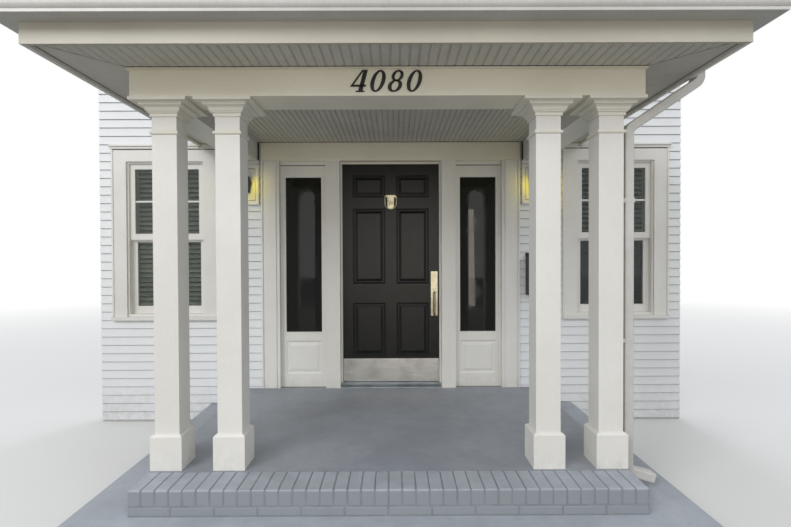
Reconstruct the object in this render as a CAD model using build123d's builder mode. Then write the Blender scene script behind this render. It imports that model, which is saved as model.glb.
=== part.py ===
from build123d import *
import os
from math import radians, tan

# Entrance porch with the bay of house wall that carries it.
# Millimetres. X runs along the wall, Y runs into the house, Z is up from the ground.
# Y = 0 is the face of the wall. The porch is symmetrical about X = 0.
# The doorway sets the width and the height. Columns, beams, roof, windows and wall follow it.

# Stoop: a wide lower step, a concrete floor and a row of bricks along its front edge
lower_rise = 162
upper_rise = 138
tread = 300
floor_depth = 1881
floor_margin = 3
edging_depth = 215
edging_round = 6

# Entrance: door between two sidelights
leaf_width = 914
leaf_height = 2032
leaf_thickness = 45
door_gap = 7
stop_gap = 5
stop_width = 15
stop_depth = 21
threshold_height = 29
threshold_nose = 8
threshold_flat = 12
mullion_width = 130
sidelight_width = 420
sidelight_stile = 45
sidelight_bottom = 507
sidelight_head = 142
sidelight_panel_foot = 120
sidelight_panel_rail = 80
sash_thickness = 40
sash_recess = 35
pilaster_width = 162
trim_projection = 20
head_height = 34
glass_thickness = 6

# Six raised panels of the door leaf
stile_width = 103
centre_stile = 104
bottom_rail = 239
lower_panel_height = 495
lock_rail = 179
frieze_rail = 106
top_panel_height = 205
top_rail = 108
panel_sink = 9
panel_moulding = 14
panel_margin = 22
panel_bevel = 24
panel_field = 7

# Columns, in two pairs
pair_spacing = 354
base_setback = 8
shaft_width = 140
shaft_round = 3
base_width = 178
base_height = 200
base_bevel = 12
neck_height = 79
astragal_height = 20
astragal_projection = 10
crown_height = 70
abacus_width = 312
abacus_height = 18

# Crown moulding of a capital: how far each part stands out, and its height over the foot
band_projection = 7
band_height = 13
bead_projection = 9
bead_radius = 7
bead_height = 20
cove_foot = 24
cove_projection = 9
cove_radius = 18
cove_height = 38
ovolo_radius = 24
ovolo_height = 54
shoulder_inset = 37
abacus_lip = 6

# Beams and frieze
beam_drop = 3
beam_reveal = 30
beam_height = 190
beam_setback = 8
front_beam_width = 236
side_beam_width = 196
bed_mould_height = 16
bed_mould_projection = 12
ceiling_rest = 18

# Soffit, ceiling and fascia
soffit_drop = 32
ceiling_drop = 17
board_thickness = 14
overhang = 330
fascia_thickness = 20
fascia_lip = 25
fascia_show = 101

# Gutter and its moulded face
gutter_floor = 95
gutter_top = 127
gutter_height = 88
gutter_metal = 2
gutter_lip = 12
face_foot = 14
face_waist = 40
face_shoulder = 68
face_curve = 34
waist_share = 0.42

# Downspout
pipe_width = 52
pipe_depth = 74
pipe_metal = 2
pipe_round = 8
pipe_bend = 55
pipe_stand_off = 25
elbow_drop = 384
elbow_reach = 60
pipe_slope = 34
pipe_foot = 95
shoe_reach = 150
shoe_fall = 43
strap_height = 26
strap_metal = 2
strap_ear = 20
strap_levels = (700, 1500)

# Roof, a low hip, and the wall over it
roof_pitch = 18.43
roof_thickness = 32
roof_edge = 20
deck_clearance = 3
cap_width = 150
cap_thickness = 8
flashing_leg = 90
flashing_metal = 2
wall_thickness = 131
wall_over_ridge = 165
wall_end = 112

# Door fittings
kick_height = 212
kick_inset = 11
kick_metal = 1.5
plate_width = 62
plate_height = 414
plate_thickness = 4
plate_rise = 1062
plate_inset = 22
cylinder_radius = 14
cylinder_reach = 8
cylinder_drop = 42
latch_drop = 168
thumb_stem_radius = 7
thumb_stem_reach = 18
thumb_width = 24
thumb_thickness = 6
thumb_gap = 10
thumb_reach = 30
grip_drop = 26
grip_radius = 9
grip_reach = 46
grip_length = 210
grip_bend = 24
rose_radius = 30
rose_thickness = 6
spindle_radius = 11
spindle_reach = 34
knob_reach = 48
knob_radius = 27
knob_half_depth = 20
knocker_over_rail = 17
knocker_plate_width = 60
knocker_plate_height = 128
knocker_plate_thickness = 5
knocker_plate_round = 26
knocker_bar_width = 118
knocker_bar_height = 22
knocker_bar_reach = 20
knocker_pin_radius = 3.5
knocker_play = 0.4
knocker_wire = 6
knocker_drop = 118
knocker_stand = 6
eye_wall = 5.5
eye_gap = 1
hinge_inset = 180
hinge_height = 102
hinge_radius = 6.5
hinge_stand = 0.5
hinge_pin_radius = 3
hinge_play = 0.4
hinge_metal = 2
hinge_leaf = 30

# Double-hung windows beside the porch
window_clear = 184
window_glass_width = 586
window_glass_rise = 752
window_head_drop = 65
stile_show = 45
window_frame = 20
bottom_rail_show = 70
top_rail_show = 50
meeting_rail = 76
sash_front = 22
sash_step = 34
sash_lap = 20
casing_width = 115
casing_lap = 6
head_casing = 127
sill_height = 32
sill_projection = 45
sill_horn = 18

# Lanterns on their blocks, and the letter box
block_gap = 18
block_width = 252
block_height = 396
block_thickness = 24
block_bevel = 8
lantern_rise = 69
lantern_width = 118
lantern_height = 235
lantern_gap = 24
lantern_foot_share = 0.62
lantern_head_share = 0.92
lantern_hood_share = 0.86
lantern_cap_share = 0.24
lantern_tail = 30
lantern_cage = 141
lantern_eave = 6
lantern_hood = 38
lantern_plate_width = 80
lantern_plate_thickness = 6
lantern_plate_inset = 10
lantern_arm_drop = 30
lantern_arm_radius = 8
lantern_tail_radius = 9
lantern_knob_radius = 7
box_gap = 56
box_width = 150
box_height = 376
box_depth = 84
box_rise = 851
box_front_share = 0.86

os.makedirs("parts", exist_ok=True)


def save(piece, name):
    piece.part.label = name
    export_step(piece.part, "parts/" + name + ".step")


def block(x0, x1, y0, y1, z0, z1, mode=Mode.ADD):
    # a square-edged piece between its six faces, drawn in plan and raised
    with BuildSketch(Plane.XY.offset(z0)) as plan:
        with Locations(((x0 + x1) / 2, (y0 + y1) / 2)):
            Rectangle(abs(x1 - x0), abs(y1 - y0))
    extrude(plan.sketch, amount=z1 - z0, mode=mode)


# Places worked out from the sizes above, from the doorway outwards and upwards
floor_z = lower_rise + upper_rise
jamb_half = leaf_width / 2 + door_gap
opening_half = jamb_half + mullion_width + sidelight_width
pilaster_edge = opening_half + pilaster_width
door_bottom = floor_z + threshold_height + door_gap
door_top = door_bottom + leaf_height
head_bottom = door_top + door_gap
head_top = head_bottom + head_height

beam_inner = pilaster_edge + beam_reveal
beam_half = beam_inner + side_beam_width
column_outer_x = beam_half + beam_setback - abacus_width / 2
column_inner_x = column_outer_x - pair_spacing
column_places = {
    "left": (-column_outer_x, -column_inner_x),
    "right": (column_inner_x, column_outer_x),
}
column_y = -floor_depth + edging_depth + base_setback + base_width / 2
floor_half = column_outer_x + base_width / 2 + floor_margin

beam_bottom = head_bottom - beam_drop
beam_top = beam_bottom + beam_height
beam_front = column_y - abacus_width / 2 + beam_setback
beam_back = beam_front + front_beam_width
abacus_z = beam_bottom - abacus_height
crown_z = abacus_z - crown_height
astragal_z = crown_z - neck_height - astragal_height
soffit_z = beam_top - soffit_drop
ceiling_z = beam_top - ceiling_drop
fascia_bottom = soffit_z - fascia_lip
block_bottom = beam_bottom - block_height

eave_half = beam_half + overhang
eave_front = beam_front - overhang
fascia_in_half = eave_half - fascia_thickness
fascia_in_front = eave_front + fascia_thickness
gutter_z = fascia_bottom + fascia_show
deck_half = eave_half + roof_edge
deck_front = eave_front - roof_edge
rise = tan(radians(roof_pitch))
roof_skin = roof_thickness * (1 + rise * rise) ** 0.5
deck_z = gutter_z + gutter_height + roof_skin + deck_clearance
ridge_y = deck_front + deck_half
ridge_z = deck_z + deck_half * rise
wall_top = ridge_z + wall_over_ridge

# Stoop
with BuildPart() as lower_step:
    block(-floor_half - tread, floor_half + tread, -floor_depth - tread, 0, 0, lower_rise)
save(lower_step, "lower_step")

with BuildPart() as porch_floor:
    block(-floor_half, floor_half, -floor_depth + edging_depth, 0, lower_rise, floor_z)
save(porch_floor, "porch_floor")

with BuildPart() as brick_edging:
    block(-floor_half, floor_half, -floor_depth, -floor_depth + edging_depth, lower_rise, floor_z)
    front_top = brick_edging.edges().filter_by(Axis.X).group_by(Axis.Z)[-1].sort_by(Axis.Y)[0]
    fillet(front_top, radius=edging_round)
save(brick_edging, "brick_edging")


# Columns: a square shaft boxed in boards, a bevelled plinth and a moulded capital
def square_shaft(x, z0, z1, mode=Mode.ADD):
    half = shaft_width / 2
    block(x - half, x + half, column_y - half, column_y + half, z0, z1, mode)


all_columns = [x for places in column_places.values() for x in places]
for side, places in column_places.items():
    for x in places:
        where = "outer" if abs(x) == column_outer_x else "inner"
        with BuildPart() as shaft:
            square_shaft(x, floor_z, abacus_z)
            fillet(shaft.edges().filter_by(Axis.Z), radius=shaft_round)
        save(shaft, "column_" + where + "_" + side)

with BuildPart() as column_bases:
    half = base_width / 2
    for x in all_columns:
        block(x - half, x + half, column_y - half, column_y + half, floor_z, floor_z + base_height)
    chamfer(column_bases.faces().group_by(Axis.Z)[-1].edges(), length=base_bevel)
    for x in all_columns:
        square_shaft(x, floor_z, floor_z + base_height, Mode.SUBTRACT)
save(column_bases, "column_bases")


def capital_outline(centre):
    # half silhouette of the crown moulding and the abacus, drawn from the column's centre line
    band = centre + shaft_width / 2 + band_projection
    bead = band + bead_projection
    cove = bead + cove_projection
    edge = centre + abacus_width / 2
    shoulder = edge - shoulder_inset
    bead_z = crown_z + bead_height
    cove_z = crown_z + cove_height
    ovolo_z = crown_z + ovolo_height
    with BuildLine() as outline:
        Polyline((centre, crown_z), (band, crown_z), (band, crown_z + band_height))
        RadiusArc((band, crown_z + band_height), (bead, bead_z), bead_radius)
        Line((bead, bead_z), (bead, crown_z + cove_foot))
        RadiusArc((bead, crown_z + cove_foot), (cove, cove_z), -cove_radius)
        RadiusArc((cove, cove_z), (shoulder, ovolo_z), ovolo_radius)
        Polyline(
            (shoulder, ovolo_z),
            (shoulder, abacus_z - abacus_lip),
            (shoulder + abacus_lip, abacus_z),
            (edge, abacus_z),
            (edge, beam_bottom),
            (centre, beam_bottom),
            (centre, crown_z),
        )
    make_face(outline.edges())


def astragal_outline(centre):
    half = shaft_width / 2
    edge = half + astragal_projection - astragal_height / 2
    top = astragal_z + astragal_height
    with BuildLine() as outline:
        Line((centre, astragal_z), (centre + edge, astragal_z))
        ThreePointArc(
            (centre + edge, astragal_z),
            (centre + half + astragal_projection, astragal_z + astragal_height / 2),
            (centre + edge, top),
        )
        Polyline((centre + edge, top), (centre, top), (centre, astragal_z))
    make_face(outline.edges())


def mitred(outline, x):
    # a moulding that returns round a square column: pulled along Y it meets itself pulled along X
    with BuildPart(mode=Mode.PRIVATE) as along_y:
        with BuildSketch(Plane.XZ.offset(-column_y)) as front:
            outline(x)
            mirror(about=Plane.YZ.offset(x))
        extrude(front.sketch, amount=abacus_width, both=True)
    with BuildPart(mode=Mode.PRIVATE) as along_x:
        with BuildSketch(Plane.YZ.offset(x)) as flank:
            outline(column_y)
            mirror(about=Plane.YZ.offset(column_y))
        extrude(flank.sketch, amount=abacus_width, both=True)
    return along_y.part & along_x.part


with BuildPart() as capitals:
    for x in all_columns:
        add(mitred(capital_outline, x))
        add(mitred(astragal_outline, x))
    for x in all_columns:
        square_shaft(x, floor_z, abacus_z, Mode.SUBTRACT)
save(capitals, "capitals")

# Beams: boxed headers with a bed mould under the soffit
with BuildPart() as front_beam:
    block(-beam_half, beam_half, beam_front, beam_back, beam_bottom, beam_top)
    mould_half = beam_half + bed_mould_projection
    mould_front = beam_front - bed_mould_projection
    block(-mould_half, mould_half, mould_front, beam_front, soffit_z - bed_mould_height, soffit_z)
    block(-beam_inner, beam_inner, beam_back, beam_back + ceiling_rest, ceiling_z - ceiling_rest, ceiling_z)
save(front_beam, "front_beam")

for side, sign in (("left", -1), ("right", 1)):
    with BuildPart() as side_beam:
        block(*sorted((sign * beam_inner, sign * beam_half)), beam_back, 0, beam_bottom, beam_top)
        block(
            *sorted((sign * beam_half, sign * (beam_half + bed_mould_projection))),
            beam_front,
            0,
            soffit_z - bed_mould_height,
            soffit_z,
        )
    save(side_beam, "side_beam_" + side)


def board_in_plan(corners, z0, z1):
    with BuildSketch(Plane.XY.offset(z0)) as plan:
        Polygon(*corners, align=None)
    extrude(plan.sketch, amount=z1 - z0)


# Ceiling and soffits, mitred at the corners
with BuildPart() as porch_ceiling:
    block(-beam_inner, beam_inner, beam_back, 0, ceiling_z, ceiling_z + board_thickness)
save(porch_ceiling, "porch_ceiling")

with BuildPart() as soffit_front:
    board_in_plan(
        [
            (-beam_half, beam_front),
            (-fascia_in_half, fascia_in_front),
            (fascia_in_half, fascia_in_front),
            (beam_half, beam_front),
        ],
        soffit_z,
        soffit_z + board_thickness,
    )
save(soffit_front, "soffit_front")

for side, sign in (("left", -1), ("right", 1)):
    with BuildPart() as soffit_side:
        board_in_plan(
            [
                (sign * beam_half, beam_front),
                (sign * fascia_in_half, fascia_in_front),
                (sign * fascia_in_half, 0),
                (sign * beam_half, 0),
            ],
            soffit_z,
            soffit_z + board_thickness,
        )
    save(soffit_side, "soffit_" + side)


# Roof: three slopes of a low hip, each cut to its neighbours along the hips
def hip_form(lift):
    # everything under the roof planes, with the planes moved up by lift
    with BuildPart(mode=Mode.PRIVATE) as form:
        with BuildSketch(Plane.XZ) as gable:
            Polygon(
                (-deck_half, 0),
                (-deck_half, deck_z + lift),
                (0, deck_z + lift + deck_half * rise),
                (deck_half, deck_z + lift),
                (deck_half, 0),
                align=None,
            )
        extrude(gable.sketch, amount=-deck_front)
        with BuildSketch(Plane.YZ) as flank:
            Polygon(
                (deck_front, 0),
                (deck_front, deck_z + lift),
                (0, deck_z + lift - deck_front * rise),
                (0, 0),
                align=None,
            )
        extrude(flank.sketch, amount=deck_half, both=True, mode=Mode.INTERSECT)
    return form.part


def plan_piece(corners):
    with BuildPart(mode=Mode.PRIVATE) as piece:
        with BuildSketch() as plan:
            Polygon(*corners, align=None)
        extrude(plan.sketch, amount=over_roof)
    return piece.part


over_roof = ridge_z + 3 * flashing_leg
deck_under = hip_form(-roof_skin)
roof_shell = hip_form(0) - deck_under
slope_plans = {
    "front": [(-deck_half, deck_front), (deck_half, deck_front), (0, ridge_y)],
    "left": [(-deck_half, deck_front), (0, ridge_y), (0, 0), (-deck_half, 0)],
    "right": [(deck_half, deck_front), (0, ridge_y), (0, 0), (deck_half, 0)],
}
for side, corners in slope_plans.items():
    with BuildPart() as slope:
        add(roof_shell & plan_piece(corners))
    save(slope, "roof_" + side)


# Caps folded over the hips and the ridge, and flashing where the roof meets the wall
def strip(start, end, half):
    # a plan strip along a line, run on past both ends
    along = (Vector(*end) - Vector(*start)).normalized()
    across = Vector(-along.Y, along.X) * half
    first = Vector(*start) - along * half
    last = Vector(*end) + along * half
    return plan_piece([first + across, first - across, last - across, last + across])


cap_shell = hip_form(cap_thickness) - hip_form(0)
with BuildPart() as ridge_caps:
    add(cap_shell & strip((0, ridge_y), (0, 0), cap_width / 2))
    add(cap_shell & strip((-deck_half, deck_front), (0, ridge_y), cap_width / 2))
    add(cap_shell & strip((deck_half, deck_front), (0, ridge_y), cap_width / 2))
    block(-deck_half, deck_half, -flashing_leg, 0, 0, over_roof, Mode.SUBTRACT)
save(ridge_caps, "ridge_caps")

with BuildPart() as wall_flashing:
    add(hip_form(flashing_leg) - hip_form(0))
    block(-deck_half, deck_half, deck_front, -flashing_leg, 0, over_roof, Mode.SUBTRACT)
    lower_leg = hip_form(flashing_leg * 2) - hip_form(flashing_metal)
    with BuildPart(mode=Mode.PRIVATE) as above_leg:
        block(-deck_half, deck_half, -flashing_leg, -flashing_metal, 0, over_roof)
    add(lower_leg & above_leg.part, mode=Mode.SUBTRACT)
save(wall_flashing, "wall_flashing")

# Fascia: boards mitred at the corners, their tops bevelled to the underside of the deck
fascia_plans = {
    "front": [
        (-eave_half, eave_front),
        (eave_half, eave_front),
        (fascia_in_half, fascia_in_front),
        (-fascia_in_half, fascia_in_front),
    ],
    "left": [
        (-eave_half, eave_front),
        (-fascia_in_half, fascia_in_front),
        (-fascia_in_half, 0),
        (-eave_half, 0),
    ],
    "right": [
        (eave_half, eave_front),
        (fascia_in_half, fascia_in_front),
        (fascia_in_half, 0),
        (eave_half, 0),
    ],
}
for side, corners in fascia_plans.items():
    with BuildPart() as fascia:
        board_in_plan(corners, fascia_bottom, deck_z + fascia_show)
        add(deck_under, mode=Mode.INTERSECT)
    save(fascia, "fascia_" + side)


# Gutter: a moulded trough on three sides, mitred at the two corners
def gutter_outline(centre, edge, metal, opened):
    # from the centre line out to the trough's moulded face; metal moves the face inwards
    out = 1 if edge > centre else -1
    face = edge + out * (gutter_floor - metal)
    rim = edge + out * (gutter_top - metal)
    waist = face + out * (gutter_top - gutter_floor) * waist_share
    low = gutter_z + metal
    foot_z = gutter_z + face_foot
    waist_z = gutter_z + face_waist
    shoulder_z = gutter_z + face_shoulder
    top = gutter_z + gutter_height
    with BuildLine() as outline:
        Polyline((centre, low), (face, low), (face, foot_z))
        RadiusArc((face, foot_z), (waist, waist_z), out * -face_curve)
        RadiusArc((waist, waist_z), (rim, shoulder_z), out * face_curve)
        if opened:
            mouth = rim - out * gutter_lip
            Polyline(
                (rim, shoulder_z),
                (rim, top - metal),
                (mouth, top - metal),
                (mouth, top + metal),
                (centre, top + metal),
                (centre, low),
            )
        else:
            Polyline((rim, shoulder_z), (rim, top), (centre, top), (centre, low))
    make_face(outline.edges())


def gutter_body(metal, opened):
    with BuildPart(mode=Mode.PRIVATE) as body:
        with BuildSketch(Plane.XZ) as gable:
            gutter_outline(0, eave_half, metal, opened)
            mirror(about=Plane.YZ)
        extrude(gable.sketch, amount=-eave_front + gutter_top)
        with BuildSketch(Plane.YZ) as flank:
            gutter_outline(0, eave_front, metal, opened)
        extrude(flank.sketch, amount=eave_half + gutter_top, both=True, mode=Mode.INTERSECT)
        wall_face = eave_half + metal
        front_face = eave_front - metal
        block(-wall_face, wall_face, front_face, 0, 0, over_roof, Mode.SUBTRACT)
    return body.part


with BuildPart(mode=Mode.PRIVATE) as end_caps:
    block(-eave_half * 2, eave_half * 2, -gutter_metal, 0, 0, over_roof)
trough = gutter_body(0, False) - (gutter_body(gutter_metal, True) - end_caps.part)
far = gutter_top * 2
mitre_y = eave_front + eave_half
gutter_plans = {
    "front": [(-eave_half - far, eave_front - far), (eave_half + far, eave_front - far), (0, mitre_y)],
    "left": [(-eave_half - far, eave_front - far), (0, mitre_y), (0, 0), (-eave_half - far, 0)],
    "right": [(eave_half + far, eave_front - far), (0, mitre_y), (0, 0), (eave_half + far, 0)],
}

# Downspout: from the gutter's underside back to the right outer column and down to the step
pipe_x = column_outer_x + shaft_width / 2 + pipe_stand_off + pipe_width / 2
outlet_x = eave_half + gutter_floor / 2
elbow_z = gutter_z - elbow_drop
pipe_turn_z = elbow_z + (outlet_x - pipe_x) * tan(radians(pipe_slope))
shoe_z = lower_rise + pipe_foot
pipe_top = elbow_z - elbow_reach
pipe_low = shoe_z + elbow_reach


def pipe_form(shrink):
    with BuildPart(mode=Mode.PRIVATE) as form:
        with BuildLine(Plane.XZ.offset(-column_y)) as route:
            FilletPolyline(
                (outlet_x, gutter_z),
                (outlet_x, pipe_turn_z),
                (pipe_x, elbow_z),
                (pipe_x, shoe_z),
                (pipe_x + shoe_reach, shoe_z - shoe_fall),
                radius=pipe_bend,
            )
        with BuildSketch(Plane.XY.offset(gutter_z)) as section:
            with Locations((outlet_x, column_y)):
                RectangleRounded(pipe_width - 2 * shrink, pipe_depth - 2 * shrink, pipe_round - shrink)
        sweep(section.sketch, path=route.line)
    return form.part


pipe = pipe_form(0) - pipe_form(pipe_metal)
pipe_lengths = {
    "downspout_offset": (pipe_top, gutter_z),
    "downspout_pipe": (pipe_low, pipe_top),
    "downspout_shoe": (0, pipe_low),
}
for name, (z0, z1) in pipe_lengths.items():
    with BuildPart(mode=Mode.PRIVATE) as length:
        block(0, eave_half * 2, eave_front, 0, z0, z1)
    with BuildPart() as pipe_piece:
        add(pipe & length.part)
    save(pipe_piece, name)

with BuildPart() as downspout_straps:
    column_face = column_outer_x + shaft_width / 2
    clip = pipe_x + pipe_width / 2
    half = pipe_depth / 2
    for level in strap_levels:
        z0 = floor_z + level
        for sign in (-1, 1):
            inner = column_y + sign * half
            outer = inner + sign * strap_metal
            ear = outer + sign * strap_ear
            block(column_face, clip + strap_metal, *sorted((inner, outer)), z0, z0 + strap_height)
            block(column_face, column_face + strap_metal, *sorted((outer, ear)), z0, z0 + strap_height)
        block(clip, clip + strap_metal, column_y - half, column_y + half, z0, z0 + strap_height)
save(downspout_straps, "downspout_straps")

for side, corners in gutter_plans.items():
    with BuildPart() as gutter:
        add(trough & plan_piece(corners))
        if side == "right":
            with BuildSketch(Plane.XY.offset(gutter_z)) as outlet:
                with Locations((outlet_x, column_y)):
                    Rectangle(pipe_width - 2 * pipe_metal, pipe_depth - 2 * pipe_metal)
            extrude(outlet.sketch, amount=gutter_metal, mode=Mode.SUBTRACT)
    save(gutter, "gutter_" + side)

# House wall, from the ground up, split beside and over the doorway
window_half = window_glass_width / 2 + stile_show + window_frame
casing_inner = window_half - casing_lap
casing_outer = casing_inner + casing_width
sill_half = casing_outer + sill_horn
window_x = beam_half + window_clear + casing_outer
wall_half = window_x + sill_half + wall_end
window_glass_bottom = floor_z + window_glass_rise
window_glass_top = head_bottom - window_head_drop
window_bottom = window_glass_bottom - bottom_rail_show - window_frame
window_top = window_glass_top + top_rail_show + window_frame

for side, sign in (("left", -1), ("right", 1)):
    with BuildPart() as wall:
        block(*sorted((sign * opening_half, sign * wall_half)), 0, wall_thickness, 0, wall_top)
        x = sign * window_x
        block(x - window_half, x + window_half, 0, wall_thickness, window_bottom, window_top, Mode.SUBTRACT)
    save(wall, "wall_" + side)

with BuildPart() as wall_above:
    block(-opening_half, opening_half, 0, wall_thickness, head_top, wall_top)
save(wall_above, "wall_above")

with BuildPart() as wall_below:
    block(-opening_half, opening_half, 0, wall_thickness, 0, floor_z)
save(wall_below, "wall_below")

# Entrance surround: flat boards on the wall's face, up to the ceiling
with BuildPart() as pilasters:
    for sign in (-1, 1):
        board = sorted((sign * opening_half, sign * pilaster_edge))
        block(*board, -trim_projection, 0, floor_z, ceiling_z)
save(pilasters, "pilasters")

with BuildPart() as header_board:
    block(-opening_half, opening_half, -trim_projection, 0, head_bottom, ceiling_z)
save(header_board, "header_board")

# Door frame: posts between the door and the sidelights, a head, and stops that the leaf closes on
stop_half = jamb_half - stop_width
leaf_back = wall_thickness
leaf_front = leaf_back - leaf_thickness
stop_back = leaf_front - stop_gap
stop_front = stop_back - stop_depth
with BuildPart() as door_posts:
    for sign in (-1, 1):
        post = sorted((sign * jamb_half, sign * (jamb_half + mullion_width)))
        block(*post, -trim_projection, wall_thickness, floor_z, head_bottom)
        lip = sorted((sign * stop_half, sign * jamb_half))
        block(*lip, stop_front, stop_back, floor_z + threshold_height, head_bottom)
save(door_posts, "door_posts")

with BuildPart() as door_head:
    block(-opening_half, opening_half, 0, wall_thickness, head_bottom, head_top)
    block(-stop_half, stop_half, stop_front, stop_back, head_bottom - stop_width, head_bottom)
save(door_head, "door_head")

with BuildPart() as threshold:
    with BuildSketch(Plane.YZ) as section:
        Polygon(
            (-trim_projection, floor_z),
            (wall_thickness, floor_z),
            (wall_thickness, floor_z + threshold_height),
            (stop_front - threshold_flat, floor_z + threshold_height),
            (-trim_projection, floor_z + threshold_nose),
            align=None,
        )
    extrude(section.sketch, amount=jamb_half, both=True)
save(threshold, "threshold")


def raised_panel(plane, width, height, moulding, field_inset):
    # a sunk panel on a face: a moulded edge, a flat margin and a bevelled field that rises again
    with BuildSketch(plane) as rim:
        Rectangle(width, height)
    with BuildSketch(plane.offset(-panel_sink)) as bed:
        Rectangle(width - 2 * moulding, height - 2 * moulding)
    loft([rim.sketch.face(), bed.sketch.face()], mode=Mode.SUBTRACT)
    with BuildSketch(plane.offset(-panel_sink)) as foot:
        Rectangle(width - 2 * field_inset, height - 2 * field_inset)
    with BuildSketch(plane.offset(-panel_sink + panel_field)) as crown:
        inset = field_inset + panel_bevel
        Rectangle(width - 2 * inset, height - 2 * inset)
    loft([foot.sketch.face(), crown.sketch.face()])


# Sidelights: a glazed sash over a raised panel
sidelight_x = jamb_half + mullion_width + sidelight_width / 2
sash_back = sash_recess + sash_thickness
glass_low = floor_z + sidelight_bottom
glass_high = head_bottom - sidelight_head
sidelight_glass_width = sidelight_width - 2 * sidelight_stile
panel_low = floor_z + sidelight_panel_foot
panel_top = glass_low - sidelight_panel_rail
with BuildPart() as sidelights:
    for sign in (-1, 1):
        x = sign * sidelight_x
        half = sidelight_width / 2
        block(x - half, x + half, sash_recess, sash_back, floor_z, head_bottom)
        half = sidelight_glass_width / 2
        block(x - half, x + half, sash_recess, sash_back, glass_low, glass_high, Mode.SUBTRACT)
        raised_panel(
            Plane((x, sash_recess, (panel_top + panel_low) / 2), x_dir=(1, 0, 0), z_dir=(0, -1, 0)),
            sidelight_glass_width,
            panel_top - panel_low,
            panel_moulding,
            panel_margin,
        )
save(sidelights, "sidelights")

with BuildPart() as sidelight_glass:
    middle = sash_recess + sash_thickness / 2
    for sign in (-1, 1):
        x = sign * sidelight_x
        half = sidelight_glass_width / 2
        block(x - half, x + half, middle, middle + glass_thickness, glass_low, glass_high)
save(sidelight_glass, "sidelight_glass")

# Door leaf with six raised panels on each face, the tall pair taking up what the height leaves
frieze_z = door_top - top_rail - top_panel_height - frieze_rail
tall_z = door_bottom + bottom_rail + lower_panel_height + lock_rail
with BuildPart() as door_leaf:
    half = leaf_width / 2
    block(-half, half, leaf_front, leaf_back, door_bottom, door_top)
    panel_width = half - centre_stile / 2 - stile_width
    panel_x = centre_stile / 2 + panel_width / 2
    for base, height in (
        (door_bottom + bottom_rail, lower_panel_height),
        (tall_z, frieze_z - tall_z),
        (frieze_z + frieze_rail, top_panel_height),
    ):
        for sign in (-1, 1):
            centre = (sign * panel_x, leaf_front, base + height / 2)
            front = Plane(centre, x_dir=(1, 0, 0), z_dir=(0, -1, 0))
            raised_panel(front, panel_width, height, panel_moulding, panel_margin)
            back = front.offset(-leaf_thickness)
            inside = Plane(back.origin, x_dir=(-1, 0, 0), z_dir=(0, 1, 0))
            raised_panel(inside, panel_width, height, panel_moulding, panel_margin)
save(door_leaf, "door_leaf")

with BuildPart() as kick_plate:
    half = leaf_width / 2 - kick_inset
    block(-half, half, leaf_front - kick_metal, leaf_front, door_bottom, door_bottom + kick_height)
save(kick_plate, "kick_plate")


def rod(start, end, radius, mode=Mode.ADD):
    # a round bar between two points
    axis = Vector(*end) - Vector(*start)
    with BuildSketch(Plane(Vector(*start), z_dir=axis)) as section:
        Circle(radius)
    extrude(section.sketch, amount=axis.length, mode=mode)


# Door handle: a long plate with a lock cylinder, a thumb piece and a bowed grip, and a knob inside
plate_x = leaf_width / 2 - plate_inset - plate_width / 2
plate_face = leaf_front - plate_thickness
plate_top = floor_z + plate_rise
plate_low = plate_top - plate_height
latch_z = plate_top - latch_drop
cylinder_z = plate_top - cylinder_drop
grip_top = latch_z - grip_drop
grip_low = grip_top - grip_length
grip_y = plate_face - grip_reach + grip_radius
with BuildPart() as door_handle:
    half = plate_width / 2
    block(plate_x - half, plate_x + half, plate_face, leaf_front, plate_low, plate_top)
    cylinder_end = (plate_x, plate_face - cylinder_reach, cylinder_z)
    rod((plate_x, plate_face, cylinder_z), cylinder_end, cylinder_radius)
    stem_end = (plate_x, plate_face - thumb_stem_reach, latch_z)
    rod((plate_x, plate_face, latch_z), stem_end, thumb_stem_radius)
    half = thumb_width / 2
    half_thickness = thumb_thickness / 2
    block(
        plate_x - half,
        plate_x + half,
        plate_face - thumb_reach,
        plate_face - thumb_gap,
        latch_z - half_thickness,
        latch_z + half_thickness,
    )
    with BuildLine(Plane.YZ.offset(plate_x)) as bow:
        FilletPolyline(
            (plate_face, grip_top),
            (grip_y, grip_top),
            (grip_y, grip_low),
            (plate_face, grip_low),
            radius=grip_bend,
        )
    with BuildSketch(Plane((plate_x, plate_face, grip_top), z_dir=(0, -1, 0))) as section:
        Circle(grip_radius)
    sweep(section.sketch, path=bow.line)
    rose_face = leaf_back + rose_thickness
    rod((plate_x, leaf_back, latch_z), (plate_x, rose_face, latch_z), rose_radius)
    rod((plate_x, rose_face, latch_z), (plate_x, leaf_back + spindle_reach, latch_z), spindle_radius)
    with BuildSketch(Plane.YZ.offset(plate_x)) as knob:
        with Locations((leaf_back + knob_reach, latch_z)):
            Ellipse(knob_half_depth, knob_radius)
        with Locations((leaf_back + knob_reach, latch_z - knob_radius)):
            Rectangle(2 * knob_radius, 2 * knob_radius, mode=Mode.SUBTRACT)
    revolve(knob.sketch, axis=Axis((plate_x, 0, latch_z), (0, 1, 0)))
save(door_handle, "door_handle")

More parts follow.
